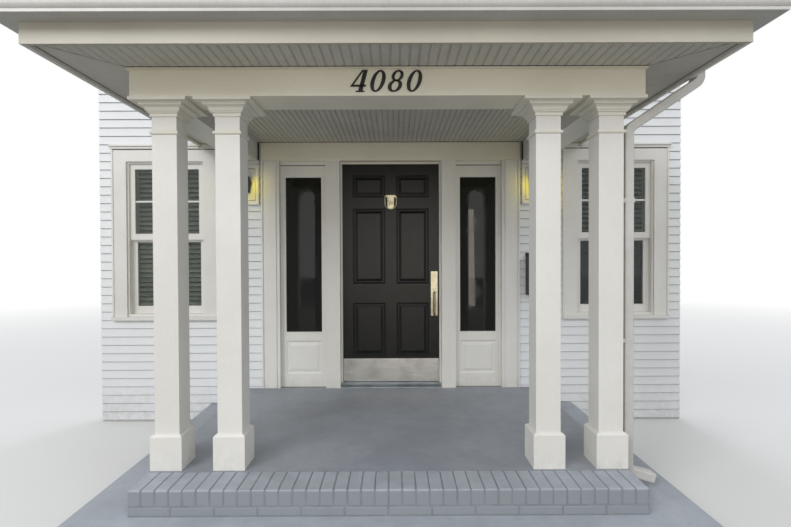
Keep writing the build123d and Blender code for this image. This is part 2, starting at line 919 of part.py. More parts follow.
# Knocker: a plate with a flat bar on top, and a bail that swings from the bar's two ends
knocker_top = frieze_z + frieze_rail + knocker_over_rail
knocker_face = leaf_front - knocker_plate_thickness
bail_y = knocker_face - knocker_stand - knocker_wire
bail_half = knocker_bar_width / 2 - knocker_wire
pivot_z = knocker_top - knocker_bar_height / 2
with BuildPart() as knocker_plate:
    half = knocker_plate_width / 2
    low = knocker_top - knocker_plate_height
    block(-half, half, knocker_face, leaf_front, low, knocker_top)
    fillet(knocker_plate.edges().filter_by(Axis.Y).group_by(Axis.Z)[0], radius=knocker_plate_round)
    bar_half = bail_half - knocker_wire - eye_gap
    bar_low = knocker_top - knocker_bar_height
    block(-bar_half, bar_half, bail_y - knocker_bar_reach / 2, knocker_face, bar_low, knocker_top)
    pin_half = bail_half + knocker_wire + eye_gap
    rod((-pin_half, bail_y, pivot_z), (pin_half, bail_y, pivot_z), knocker_pin_radius)
save(knocker_plate, "knocker_plate")

with BuildPart() as knocker_bail:
    eye_bore = knocker_pin_radius + knocker_play
    eye_radius = knocker_pin_radius + eye_wall
    arm_top = pivot_z - eye_bore - knocker_pin_radius
    arc_z = pivot_z - knocker_drop + bail_half
    with BuildLine(Plane.XZ.offset(-bail_y)) as bend:
        Line((-bail_half, arm_top), (-bail_half, arc_z))
        ThreePointArc((-bail_half, arc_z), (0, arc_z - bail_half), (bail_half, arc_z))
        Line((bail_half, arc_z), (bail_half, arm_top))
    with BuildSketch(Plane.XY.offset(arm_top)) as section:
        with Locations((-bail_half, bail_y)):
            Circle(knocker_wire)
    sweep(section.sketch, path=bend.line)
    for sign in (-1, 1):
        near = (sign * (bail_half - knocker_wire), bail_y, pivot_z)
        far_end = (sign * (bail_half + knocker_wire), bail_y, pivot_z)
        rod(near, far_end, eye_radius)
        rod(near, far_end, eye_bore, Mode.SUBTRACT)
save(knocker_bail, "knocker_bail")

# Butt hinges on the left edge, with their knuckles on the inner side
pin_x = -(leaf_width + door_gap) / 2
pin_y = wall_thickness + hinge_radius + hinge_stand
hinge_levels = (
    door_bottom + hinge_inset,
    door_bottom + leaf_height / 2 - hinge_height / 2,
    door_top - hinge_inset - hinge_height,
)
knuckle = hinge_height / 3


def hinge_plate(x0, x1, level):
    block(x0, x1, wall_thickness - hinge_leaf, wall_thickness, level, level + hinge_height)


with BuildPart() as door_hinges:
    edge = -leaf_width / 2
    for level in hinge_levels:
        hinge_plate(edge - hinge_metal, edge, level)
        low = level + knuckle + hinge_play
        high = level + 2 * knuckle - hinge_play
        block(edge - hinge_metal, edge, wall_thickness, pin_y, low, high)
        rod((pin_x, pin_y, low), (pin_x, pin_y, high), hinge_radius)
        rod((pin_x, pin_y, low), (pin_x, pin_y, high), hinge_pin_radius + hinge_play, Mode.SUBTRACT)
save(door_hinges, "door_hinges")

with BuildPart() as frame_hinges:
    edge = -jamb_half
    for level in hinge_levels:
        hinge_plate(edge, edge + hinge_metal, level)
        for low in (level, level + 2 * knuckle):
            block(edge, edge + hinge_metal, wall_thickness, pin_y, low, low + knuckle)
            rod((pin_x, pin_y, low), (pin_x, pin_y, low + knuckle), hinge_radius)
        rod((pin_x, pin_y, level), (pin_x, pin_y, level + hinge_height), hinge_pin_radius)
save(frame_hinges, "frame_hinges")

# Double-hung windows: casing and sill, frame with two sashes, and the glass
sash_half = window_half - window_frame
meeting_z = (window_glass_bottom + window_glass_top) / 2
lower_top = meeting_z - meeting_rail / 2
upper_low = meeting_z + meeting_rail / 2
with BuildPart() as window_trim:
    for sign in (-1, 1):
        x = sign * window_x
        low = window_bottom
        top = window_top - casing_lap
        block(x - casing_outer, x + casing_outer, -trim_projection, 0, low, top + head_casing)
        block(x - casing_inner, x + casing_inner, -trim_projection, 0, low, top, Mode.SUBTRACT)
        block(x - sill_half, x + sill_half, -sill_projection, 0, low - sill_height, low)
save(window_trim, "window_trim")

with BuildPart() as window_sashes:
    sash_low = window_bottom + window_frame
    sash_top = window_top - window_frame
    lower_front = sash_front + sash_step
    sash_rear = lower_front + sash_step
    for sign in (-1, 1):
        x = sign * window_x
        block(x - window_half, x + window_half, 0, wall_thickness, window_bottom, window_top)
        left = x - sash_half
        right = x + sash_half
        block(left, right, 0, sash_front, sash_low, sash_top, Mode.SUBTRACT)
        half = window_glass_width / 2
        block(x - half, x + half, 0, wall_thickness, upper_low, window_glass_top, Mode.SUBTRACT)
        block(x - half, x + half, 0, wall_thickness, window_glass_bottom, lower_top, Mode.SUBTRACT)
        block(left, right, sash_front, lower_front, sash_low, lower_top + sash_lap, Mode.SUBTRACT)
        block(left, right, sash_rear, wall_thickness, sash_low, sash_top, Mode.SUBTRACT)
save(window_sashes, "window_sashes")

with BuildPart() as window_glass:
    half = window_glass_width / 2
    upper_y = sash_front + sash_step / 2
    lower_y = upper_y + sash_step
    for sign in (-1, 1):
        x = sign * window_x
        block(x - half, x + half, upper_y, upper_y + glass_thickness, upper_low, window_glass_top)
        block(x - half, x + half, lower_y, lower_y + glass_thickness, window_glass_bottom, lower_top)
save(window_glass, "window_glass")

# Wall lanterns on their blocks, under the side beams
block_x = pilaster_edge + block_gap + block_width / 2
with BuildPart() as lantern_blocks:
    for sign in (-1, 1):
        x = sign * block_x
        half = block_width / 2
        block(x - half, x + half, -block_thickness, 0, block_bottom, beam_bottom)
    chamfer(lantern_blocks.faces().sort_by(Axis.Y).group_by(Axis.Y)[0].edges(), length=block_bevel)
save(lantern_blocks, "lantern_blocks")


def lantern_square(x, y, z, share):
    with BuildSketch(Plane.XY.offset(z)) as outline:
        with Locations((x, y)):
            Rectangle(lantern_width * share, lantern_width * share)
    return outline.sketch.face()


with BuildPart() as lanterns:
    face = -block_thickness
    body_y = face - lantern_gap - lantern_width / 2
    lantern_bottom = block_bottom + lantern_rise
    cage_z = lantern_bottom + lantern_tail
    eave_z = cage_z + lantern_cage
    hood_z = eave_z + lantern_eave
    cap_z = hood_z + lantern_hood
    arm_z = eave_z - lantern_arm_drop
    for sign in (-1, 1):
        x = sign * block_x
        foot = lantern_square(x, body_y, cage_z, lantern_foot_share)
        head = lantern_square(x, body_y, eave_z, lantern_head_share)
        loft([foot, head])
        extrude(lantern_square(x, body_y, eave_z, 1), amount=lantern_eave)
        hood_foot = lantern_square(x, body_y, hood_z, lantern_hood_share)
        hood_top = lantern_square(x, body_y, cap_z, lantern_cap_share)
        loft([hood_foot, hood_top])
        knob_top = (x, body_y, lantern_bottom + lantern_height)
        rod((x, body_y, cap_z), knob_top, lantern_knob_radius)
        rod((x, body_y, lantern_bottom), (x, body_y, cage_z), lantern_tail_radius)
        half = lantern_plate_width / 2
        low = cage_z + lantern_plate_inset
        high = eave_z - lantern_plate_inset
        plate_front = face - lantern_plate_thickness
        block(x - half, x + half, plate_front, face, low, high)
        rod((x, plate_front, arm_z), (x, body_y, arm_z), lantern_arm_radius)
save(lanterns, "lanterns")

# Letter box with a sloping lid
box_left = pilaster_edge + box_gap
box_bottom = floor_z + box_rise
box_top = box_bottom + box_height
with BuildPart() as letter_box:
    with BuildSketch(Plane.YZ.offset(box_left)) as flank:
        Polygon(
            (0, box_bottom),
            (0, box_top),
            (-box_depth, box_bottom + box_height * box_front_share),
            (-box_depth, box_bottom),
            align=None,
        )
    extrude(flank.sketch, amount=box_width)
save(letter_box, "letter_box")
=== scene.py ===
import bpy
import math
import random
from mathutils import Matrix, Vector


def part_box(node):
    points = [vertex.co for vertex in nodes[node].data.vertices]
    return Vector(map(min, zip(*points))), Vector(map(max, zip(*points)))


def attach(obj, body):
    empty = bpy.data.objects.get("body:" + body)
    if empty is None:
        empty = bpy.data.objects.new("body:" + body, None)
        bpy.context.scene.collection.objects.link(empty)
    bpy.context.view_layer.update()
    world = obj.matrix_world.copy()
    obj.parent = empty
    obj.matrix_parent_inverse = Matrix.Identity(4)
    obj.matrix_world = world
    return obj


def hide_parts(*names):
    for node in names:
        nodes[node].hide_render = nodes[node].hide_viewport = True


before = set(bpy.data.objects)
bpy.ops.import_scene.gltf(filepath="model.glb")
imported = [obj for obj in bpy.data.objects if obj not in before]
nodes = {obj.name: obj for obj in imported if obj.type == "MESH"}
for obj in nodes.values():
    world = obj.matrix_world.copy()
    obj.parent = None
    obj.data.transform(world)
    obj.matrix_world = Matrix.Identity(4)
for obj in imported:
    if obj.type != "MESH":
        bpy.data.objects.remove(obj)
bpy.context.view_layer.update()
bpy.ops.object.select_all(action="DESELECT")  # the loaded nodes arrive selected
mm = 0.001
print("frame loaded:", len(nodes), "nodes")


# Helpers

def hexColour(code):  # sRGB hex to the linear colour that a shader works in
    channels = [int(code[i:i + 2], 16) / 255 for i in (1, 3, 5)]
    linear = [c / 12.92 if c <= 0.04045 else ((c + 0.055) / 1.055) ** 2.4 for c in channels]
    return (*linear, 1)


def addNode(tree, kind, inputs={}, settings={}):  # one node: each input is a value or a socket that drives it
    node = tree.nodes.new("ShaderNode" + kind)
    for key, value in settings.items():
        setattr(node, key, value)
    for key, value in inputs.items():
        if isinstance(value, bpy.types.NodeSocket):
            tree.links.new(value, node.inputs[key])
        else:
            node.inputs[key].default_value = value
    return node


def newMaterial(name, values):  # a shader with plain values, and the piece's own coordinates
    material = bpy.data.materials.new(name)
    material.use_nodes = True
    tree = material.node_tree
    shader = tree.nodes["Principled BSDF"]
    for key, value in values.items():
        shader.inputs[key].default_value = value
    place = addNode(tree, "TexCoord").outputs["Object"]
    return material, tree, shader, place


def makeActive(piece):
    bpy.ops.object.select_all(action="DESELECT")
    piece.select_set(True)
    bpy.context.view_layer.objects.active = piece


def finishPiece(piece, material, body="root"):  # its material, its body and its place in the mesh
    piece.data.materials.clear()
    piece.data.materials.append(material)
    makeActive(piece)
    bpy.ops.object.transform_apply(location=True, rotation=True, scale=True)
    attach(piece, body)
    piece.select_set(False)
    return piece


def startBlock(name, low, high):  # a block between two corners, as a start
    bpy.ops.object.select_all(action="DESELECT")
    bpy.ops.mesh.primitive_cube_add(size=1, location=[(a + b) / 2 for a, b in zip(low, high)])
    piece = bpy.context.active_object
    piece.scale = [b - a for a, b in zip(low, high)]
    bpy.ops.object.transform_apply(location=True, rotation=True, scale=True)
    piece.name = name
    piece.data.name = name
    return piece


def sideBlock(name, sign, low, high):  # a block placed for the right side, or mirrored to the left
    x0, x1 = sorted((sign * low[0], sign * high[0]))
    return startBlock(name, (x0, *low[1:]), (x1, *high[1:]))


def startRod(radius, length, middle, turn, facets):  # a round bar, as a start
    bpy.ops.mesh.primitive_cylinder_add(
        vertices=facets, radius=radius, depth=length, location=middle, rotation=turn)
    bpy.ops.object.transform_apply(location=True, rotation=True, scale=True)
    return bpy.context.active_object


def dropPiece(piece):
    makeActive(piece)
    bpy.ops.object.delete()


def pickPoints(piece, test):  # opens the piece with the points chosen by their place
    makeActive(piece)
    bpy.ops.object.mode_set(mode="EDIT")
    bpy.ops.mesh.select_mode(type="VERT")
    bpy.ops.mesh.select_all(action="DESELECT")
    bpy.ops.object.mode_set(mode="OBJECT")
    for point in piece.data.vertices:
        point.select = bool(test(point.co))
    bpy.ops.object.mode_set(mode="EDIT")


def movePoints(piece, test, offset):
    pickPoints(piece, test)
    bpy.ops.transform.translate(value=offset)
    bpy.ops.object.mode_set(mode="OBJECT")


def roundEdges(piece, size, steps, side=None):  # bevels the edges of one face, or of the whole piece
    axis, turn = {"front": (1, -1), "back": (1, 1), "foot": (2, -1), "top": (2, 1)}.get(side, (0, 0))
    reach = max(turn * point.co[axis] for point in piece.data.vertices)
    pickPoints(piece, lambda p: turn * p[axis] > reach - 0.3 * mm)
    bpy.ops.mesh.bevel(offset=size, segments=steps, affect="EDGES")
    bpy.ops.object.mode_set(mode="OBJECT")
    return piece


def splitPiece(piece, point, normal, **closing):  # cuts a new edge where a plane meets the piece
    makeActive(piece)
    bpy.ops.object.mode_set(mode="EDIT")
    bpy.ops.mesh.select_all(action="SELECT")
    bpy.ops.mesh.bisect(plane_co=point, plane_no=normal, **closing)
    bpy.ops.object.mode_set(mode="OBJECT")


def trimPiece(piece, point, normal):  # cuts away what lies past a plane and closes the cut
    splitPiece(piece, point, normal, use_fill=True, clear_outer=True)


def applyModifier(piece, kind, settings):
    makeActive(piece)
    modifier = piece.modifiers.new(kind.title(), kind)
    for key, value in settings.items():
        setattr(modifier, key, value)
    bpy.ops.object.modifier_apply(modifier=modifier.name)


def repeatPiece(piece, count, step):  # a row of the same piece, made one mesh
    applyModifier(piece, "ARRAY", {
        "count": count, "use_relative_offset": False, "use_constant_offset": True,
        "constant_offset_displace": step})


def plantPair(name, material, rows):  # blocks on both sides, one face of each bevelled, made one piece
    parts = []
    for sign in (-1, 1):
        for low, high, size, steps, face in rows:
            parts.append(roundEdges(sideBlock(name, sign, low, high), size, steps, face))
    finishPiece(joinPieces(name, parts), material)
    print(name + ":", len(parts), "blocks")


def copyPiece(piece, name, offset):  # a copy with a mesh of its own
    copy = piece.copy()
    copy.data = piece.data.copy()
    copy.name = name
    copy.data.name = name
    bpy.context.collection.objects.link(copy)
    copy.data.transform(Matrix.Translation(offset))
    return copy


def joinPieces(name, pieces):
    makeActive(pieces[0])
    for piece in pieces:
        piece.select_set(True)
    if len(pieces) > 1:
        bpy.ops.object.join()
    pieces[0].name = name
    pieces[0].data.name = name
    return pieces[0]


def cutAway(piece, cutter):  # takes the cutter's shape out of a piece
    applyModifier(piece, "BOOLEAN", {"operation": "DIFFERENCE", "solver": "EXACT", "object": cutter})
    dropPiece(cutter)


# Camera at the photograph's place

cameraPlace = {
    "location": (0.0325, -4.2438, 1.4917),
    "yaw": 0.137,  # degrees, turned to the right
    "pitch": 0.727,  # degrees, looking down
    "roll": 0.224,  # degrees, leaning to the right
    "focalPixels": 463.15,
    "framePixels": 791,
    "sensor": 36,
    "reach": 200,
}
bpy.ops.object.camera_add()
camera = bpy.context.active_object
camera.data.sensor_width = cameraPlace["sensor"]
camera.data.lens = cameraPlace["focalPixels"] / cameraPlace["framePixels"] * cameraPlace["sensor"]
camera.data.clip_end = cameraPlace["reach"]
camera.matrix_world = (
    Matrix.Translation(cameraPlace["location"])
    @ Matrix.Rotation(math.radians(-cameraPlace["yaw"]), 4, "Z")
    @ Matrix.Rotation(math.radians(90 - cameraPlace["pitch"]), 4, "X")
    @ Matrix.Rotation(math.radians(-cameraPlace["roll"]), 4, "Z")
)
bpy.context.scene.camera = camera

# Studio: a pale floor, a white surround and four soft lamps

studio = {
    "floorSize": 60,
    "floorFade": (4, 15),  # metres from the middle between which the floor turns white
    "floorColour": "#e6e6e4",
    "floorBounce": "#8a8a88",  # what the floor sends back on to the object
    "surroundLight": 0.78,
    "surroundColour": "#f2f5fa",
    "lamps": {
        # place, aim, size in metres, power in watts, colour
        "keyLamp": ((-5.5, -8.5, 6.6), (0, -0.8, 1.2), 4.0, 420, "#ffffff"),
        "fillLamp": ((6.5, -8.0, 6.6), (0, -0.8, 1.2), 4.0, 105, "#f4f7ff"),
        "frontLamp": ((0.5, -10.0, 1.0), (0, -1.0, 2.0), 4.0, 150, "#fff4e2"),
        "rearLamp": ((2.0, 7.5, 6.0), (0, 0, 1.8), 4.0, 160, "#f6f8ff"),
    },
}
bpy.context.scene.view_settings.view_transform = "Standard"
world = bpy.data.worlds.new("studioSurround")
bpy.context.scene.world = world
world.use_nodes = True
worldTree = world.node_tree
worldTree.nodes.clear()
rays = addNode(worldTree, "LightPath")
seenOrMirrored = addNode(worldTree, "Math", {
    0: rays.outputs["Is Camera Ray"], 1: rays.outputs["Is Glossy Ray"]}, {"operation": "MAXIMUM"})
seenAnyWay = addNode(worldTree, "Math", {
    0: seenOrMirrored.outputs[0], 1: rays.outputs["Is Transmission Ray"]}, {"operation": "MAXIMUM"})
softLight = addNode(worldTree, "Background", {
    "Color": hexColour(studio["surroundColour"]), "Strength": studio["surroundLight"]})
whiteSurround = addNode(worldTree, "Background", {"Color": (1, 1, 1, 1), "Strength": 1})
surroundMix = addNode(worldTree, "MixShader", {
    0: seenAnyWay.outputs[0], 1: softLight.outputs[0], 2: whiteSurround.outputs[0]})
addNode(worldTree, "OutputWorld", {"Surface": surroundMix.outputs[0]})

for name, (place, aim, size, power, colour) in studio["lamps"].items():
    bpy.ops.object.light_add(type="AREA", location=place)
    lamp = bpy.context.active_object
    lamp.name = name
    lamp.data.shape = "SQUARE"
    lamp.data.size = size
    lamp.data.energy = power
    lamp.data.color = hexColour(colour)[:3]
    lamp.rotation_euler = (Vector(aim) - Vector(place)).to_track_quat("-Z", "Y").to_euler()

bpy.ops.mesh.primitive_plane_add(size=studio["floorSize"], location=(0, 0, 0))
studioFloor = bpy.context.active_object
studioFloor.name = "studioFloor"
studioPaint, studioTree, studioShader, studioPlace = newMaterial("paleStudioFloor", {"Roughness": 0.85})
studioRays = addNode(studioTree, "LightPath")
studioColour = addNode(studioTree, "Mix", {
    6: hexColour(studio["floorBounce"]), 7: hexColour(studio["floorColour"]),
    0: studioRays.outputs["Is Camera Ray"]}, {"data_type": "RGBA"})
studioTree.links.new(studioColour.outputs[2], studioShader.inputs["Base Color"])
# far from the object the floor fades to the surround's white, so that no horizon shows
studioReach = addNode(studioTree, "VectorMath", {0: studioPlace}, {"operation": "LENGTH"})
studioFade = addNode(studioTree, "MapRange", {
    "From Min": studio["floorFade"][0], "From Max": studio["floorFade"][1],
    "Value": studioReach.outputs["Value"]})
studioShare = addNode(studioTree, "Math", {
    0: studioFade.outputs[0], 1: studioRays.outputs["Is Camera Ray"]}, {"operation": "MULTIPLY"})
studioWhite = addNode(studioTree, "Emission", {"Color": (1, 1, 1, 1), "Strength": 1})
studioMix = addNode(studioTree, "MixShader", {
    0: studioShare.outputs[0], 1: studioShader.outputs[0], 2: studioWhite.outputs[0]})
studioTree.links.new(studioMix.outputs[0], studioTree.nodes["Material Output"].inputs["Surface"])
studioFloor.data.materials.append(studioPaint)
print("camera, lamps and floor set")


# Materials: painted timber and masonry

def wireFinish(tree, shader, colour, gloss, height, relief):  # the relief has a strength and a depth in mm
    bump = addNode(tree, "Bump", {"Strength": relief[0], "Distance": relief[1] * mm, "Height": height})
    tree.links.new(bump.outputs[0], shader.inputs["Normal"])
    if colour:
        tree.links.new(colour, shader.inputs["Base Color"])
    if gloss:
        tree.links.new(gloss, shader.inputs["Roughness"])


def paintedSurface(name, look):  # paint over wood or masonry: broad tone, fine texture and dirt near the foot
    material, tree, shader, place = newMaterial(name, {"IOR": 1.5})
    tone = addNode(tree, "TexNoise", {
        "Scale": 1 / (look["toneSize"] * mm), "Detail": 4, "Roughness": 0.6, "Vector": place})
    toneRange = addNode(tree, "MapRange", {
        "From Min": 0.38, "From Max": 0.62, "Value": tone.outputs["Fac"]})
    mixed = addNode(tree, "Mix", {
        6: hexColour(look["colour"]), 7: hexColour(look["shade"]),
        0: toneRange.outputs[0]}, {"data_type": "RGBA"})
    run = look.get("grainRun", (1, 1, 1))  # small along the boards, where brush marks run
    stretched = addNode(tree, "Mapping", {"Scale": run, "Vector": place})
    grain = addNode(tree, "TexNoise", {
        "Scale": 1 / (look["grainSize"] * mm), "Detail": 5, "Roughness": 0.65,
        "Vector": stretched.outputs[0]})
    speckle = addNode(tree, "MapRange", {
        "From Min": 0.35, "From Max": 0.65, "To Min": 1 - look["grainTint"], "To Max": 1,
        "Value": grain.outputs["Fac"]})
    speckled = addNode(tree, "Mix", {
        0: 1, 6: mixed.outputs[2],
        7: speckle.outputs[0]}, {"data_type": "RGBA", "blend_type": "MULTIPLY"})
    height = addNode(tree, "SeparateXYZ", {"Vector": place})
    fadeStart, fadeEnd, most, least = look["dirtFade"]  # heights in metres, and its share at each
    nearFoot = addNode(tree, "MapRange", {
        "From Min": fadeStart, "From Max": fadeEnd, "To Min": most, "To Max": least,
        "Value": height.outputs["Z"]})
    patches = addNode(tree, "TexNoise", {  # stains of about 70 mm
        "Scale": 14, "Detail": 6, "Roughness": 0.7, "Vector": place})
    patchRange = addNode(tree, "MapRange", {
        "From Min": 0.4, "From Max": 0.7, "Value": patches.outputs["Fac"]})
    dirtShare = addNode(tree, "Math", {
        0: nearFoot.outputs[0], 1: patchRange.outputs[0]}, {"operation": "MULTIPLY"})
    soiled = addNode(tree, "Mix", {
        7: hexColour(look["dirt"]), 0: dirtShare.outputs[0],
        6: speckled.outputs[2]}, {"data_type": "RGBA"})
    polish = addNode(tree, "MapRange", {
        "To Min": look["roughness"] - 0.08, "To Max": look["roughness"] + 0.08,
        "Value": grain.outputs["Fac"]})
    wireFinish(tree, shader, soiled.outputs[2], polish.outputs[0], grain.outputs["Fac"],
               (0.6, look["grainDepth"]))
    return material


def heightOf(material):  # how high a point of the surface lies, in metres
    place = addNode(material.node_tree, "TexCoord").outputs["Object"]
    return addNode(material.node_tree, "SeparateXYZ", {"Vector": place}).outputs["Z"]


def layOver(material, colour, share):  # a second colour over what the shader already has
    tree = material.node_tree
    base = tree.nodes["Principled BSDF"].inputs["Base Color"]
    mixed = addNode(tree, "Mix", {
        7: hexColour(colour), 0: share, 6: base.links[0].from_socket}, {"data_type": "RGBA"})
    tree.links.new(mixed.outputs[2], base)


# Satin enamel on planed boards: even and pale, with brush marks along the board and a soft sheen
trimLook = {
    "colour": "#e5e4df", "shade": "#dedcd6", "toneSize": 900, "grainRun": (1, 1, 0.12), "grainSize": 9,
    "grainTint": 0.03, "grainDepth": 0.35, "roughness": 0.42,
    "dirt": "#9b978c", "dirtFade": (0.3, 0.42, 0.3, 0.03),
}
trimPaint = paintedSurface("satinEnamelOnBoards", trimLook)
# The level boards take a warmer copy of the enamel: a painted tint for the warm bounce light in the shade
# under the eave
acrossPaint = paintedSurface("satinEnamelOnLevelBoards", {
    **trimLook, "grainRun": (0.12, 1, 1), "colour": "#ece7d6", "shade": "#e4dfcd"})
# The same enamel on the crown mouldings of the capitals, painted a little warmer than on the shafts for the
# same warm light in their shade
capitalPaint = paintedSurface("satinEnamelOnMouldings", {
    **trimLook, "grainRun": (0.12, 1, 1), "colour": "#e8e5da", "shade": "#e0ddd1"})
# The fascia's enamel is a shade deeper than the rest: painted shade for the gutter's shadow on it
fasciaPaint = paintedSurface("shadedEnamelOnFascia", {
    **trimLook, "grainRun": (0.12, 1, 1), "colour": "#bfbbad", "shade": "#b5b1a3"})
# House paint on lapped cedar: cool white, its brush marks level, dulled by rain splash at the foot
sidingPaint = paintedSurface("housePaintOnCedar", {
    "colour": "#ebedee", "shade": "#e5e7e8", "toneSize": 1100, "grainRun": (0.06, 1, 1), "grainSize": 7,
    "grainTint": 0.04, "grainDepth": 0.5, "roughness": 0.55,
    "dirt": "#a8a9a4", "dirtFade": (0.0, 0.4, 0.4, 0.03)})
# Painted shade, with some dust: a dark line under each lap, where the board above overhangs, and on the
# butts' undersides
lapShadeLine = {"start": 16 * mm, "exposure": 76.2 * mm, "from": 0.88, "most": 0.6, "under": 0.025,
           "colour": "#83878d"}
lapTree = sidingPaint.node_tree
lapCount = addNode(lapTree, "MapRange", {
    "From Min": lapShadeLine["start"], "From Max": lapShadeLine["start"] + lapShadeLine["exposure"],
    "Value": heightOf(sidingPaint)}, {"clamp": False})
lapPart = addNode(lapTree, "Math", {0: lapCount.outputs[0]}, {"operation": "FRACT"})
lapTop = addNode(lapTree, "MapRange", {
    "From Min": lapShadeLine["from"], "To Max": lapShadeLine["most"], "Value": lapPart.outputs[0]})
lapUnder = addNode(lapTree, "MapRange", {
    "From Max": lapShadeLine["under"], "To Min": lapShadeLine["most"], "To Max": 0, "Value": lapPart.outputs[0]})
lapShadeShare = addNode(lapTree, "Math", {
    0: lapTop.outputs[0], 1: lapUnder.outputs[0]}, {"operation": "MAXIMUM"})
layOver(sidingPaint, lapShadeLine["colour"], lapShadeShare.outputs[0])
# Painted plaster on the house side of the wall: pale and matt, with a trowel's faint stipple
plasterPaint = paintedSurface("paintedPlaster", {
    "colour": "#dedcd5", "shade": "#d8d6ce", "toneSize": 1200, "grainSize": 12,
    "grainTint": 0.03, "grainDepth": 0.5, "roughness": 0.75,
    "dirt": "#a5a298", "dirtFade": (0.0, 0.3, 0.25, 0.02)})
# Grey-white paint on grooved ceiling boards: flat, a little yellowed and dusty
ceilingPaint = paintedSurface("flatPaintOnBeadboard", {
    "colour": "#cfcdc4", "shade": "#c7c4ba", "toneSize": 500, "grainRun": (1, 0.08, 1), "grainSize": 6,
    "grainTint": 0.06, "grainDepth": 0.3, "roughness": 0.6,
    "dirt": "#8d897c", "dirtFade": (2.5, 2.6, 0.12, 0.12)})
# Floor enamel on trowelled concrete: slate grey, scuffed, with worn and stained patches
floorLook = {
    "colour": "#9fa4ac", "shade": "#92979f", "toneSize": 420, "grainSize": 5,
    "grainTint": 0.1, "grainDepth": 0.6, "roughness": 0.5,
    "dirt": "#74767a", "dirtFade": (0.0, 0.4, 0.3, 0.18),
}
floorPaint = paintedSurface("floorEnamelOnConcrete", floorLook)
# The lower step has the same enamel, paler, bluer and more matt
stepPaint = paintedSurface("paleEnamelOnConcrete", {
    **floorLook, "colour": "#b4bac2", "shade": "#a5abb3", "roughness": 0.62, "dirt": "#84898e"})
# Floor enamel on clay brick: pale grey-blue, softened under many coats
brickLook = {
    "colour": "#afb5bd", "shade": "#a2a8b0", "toneSize": 150, "grainSize": 7,
    "grainTint": 0.1, "grainDepth": 1.4, "roughness": 0.55,
    "dirt": "#7c8187", "dirtFade": (0.15, 0.32, 0.3, 0.1),
}
brickPaint = paintedSurface("floorEnamelOnBrick", brickLook)
# Painted shade: the bricks' upright faces are greyed below the edge of their tops, as the tops take more of
# the light from above
faceShade = {"from": 0.286, "to": 0.297, "most": 0.85, "colour": "#858c91"}
faceShadeShare = addNode(brickPaint.node_tree, "MapRange", {
    "From Min": faceShade["from"], "From Max": faceShade["to"], "To Min": faceShade["most"], "To Max": 0,
    "Value": heightOf(brickPaint)})
layOver(brickPaint, faceShade["colour"], faceShadeShare.outputs[0])
# Mortar under the same enamel: nearly the bricks' tone, a little duller and rougher
mortarPaint = paintedSurface("enamelledMortar", {
    **brickLook, "colour": "#888e93", "shade": "#7d8388", "toneSize": 60, "grainSize": 3, "roughness": 0.8})
# Cast concrete footing: rough, grey and unpainted
footingConcrete = paintedSurface("castConcrete", {
    "colour": "#93928d", "shade": "#807f7b", "toneSize": 180, "grainSize": 4,
    "grainTint": 0.25, "grainDepth": 1.5, "roughness": 0.85,
    "dirt": "#57544c", "dirtFade": (0.0, 0.3, 0.6, 0.1)})
# Baked enamel on sheet aluminium: smooth and off-white, with rain streaks down the face; its white is greyed
# as painted shade
gutterEnamel = paintedSurface("bakedEnamelOnAluminium", {
    "colour": "#cbcac6", "shade": "#c3c1bc", "toneSize": 500, "grainRun": (1, 1, 0.15), "grainSize": 14,
    "grainTint": 0.05, "grainDepth": 0.08, "roughness": 0.36,
    "dirt": "#8c8a80", "dirtFade": (0.15, 2.7, 0.2, 0.1)})
# Satin black enamel on the door: deep, with faint brush marks up the stiles and dust in the mouldings
doorPaint = paintedSurface("satinBlackEnamel", {
    "colour": "#090a0a", "shade": "#0f1010", "toneSize": 300, "grainRun": (1, 1, 0.08), "grainSize": 7,
    "grainTint": 0.2, "grainDepth": 0.35, "roughness": 0.34,
    "dirt": "#4a4a45", "dirtFade": (0.3, 0.9, 0.2, 0.02)})
# years of sun have chalked the door, so it shines less than fresh enamel
doorPaint.node_tree.nodes["Principled BSDF"].inputs["Specular IOR Level"].default_value = 0.3
# Powder coat on the lanterns and the letter box: black, finely pebbled
powderCoat = paintedSurface("blackPowderCoat", {
    "colour": "#17181a", "shade": "#202124", "toneSize": 90, "grainSize": 2.5,
    "grainTint": 0.2, "grainDepth": 0.25, "roughness": 0.45,
    "dirt": "#55534c", "dirtFade": (1.1, 2.3, 0.1, 0.04)})
# Off-white baked enamel on blind slats: smooth and dusty, painted grey as shade for the unlit room behind the
# glass
slatEnamel = paintedSurface("enamelledSlats", {
    "colour": "#a9aa9b", "shade": "#979889", "toneSize": 200, "grainRun": (0.1, 1, 1), "grainSize": 8,
    "grainTint": 0.05, "grainDepth": 0.1, "roughness": 0.45,
    "dirt": "#83827a", "dirtFade": (0.9, 2.4, 0.15, 0.15)})
# Dust and painted shade in the narrow joints of the trim: brown-grey and matt strips that darken each joint
# as its shadow would
jointDustAndShade = paintedSurface("dustAndShadeInJoints", {
    "colour": "#7a776b", "shade": "#6d6a5f", "toneSize": 60, "grainSize": 3,
    "grainTint": 0.2, "grainDepth": 0.4, "roughness": 0.9,
    "dirt": "#4e4b42", "dirtFade": (0.3, 2.5, 0.2, 0.2)})
# A sheet of closely woven black cloth behind the slats, as painted shade for the unlit room: it takes nearly
# all light
shadeCloth = paintedSurface("blackClothForUnlitRoom", {
    "colour": "#0e100f", "shade": "#131514", "toneSize": 150, "grainSize": 2,
    "grainTint": 0.3, "grainDepth": 0.3, "roughness": 0.9,
    "dirt": "#1b1b19", "dirtFade": (0.9, 2.4, 0.1, 0.1)})


# Metals

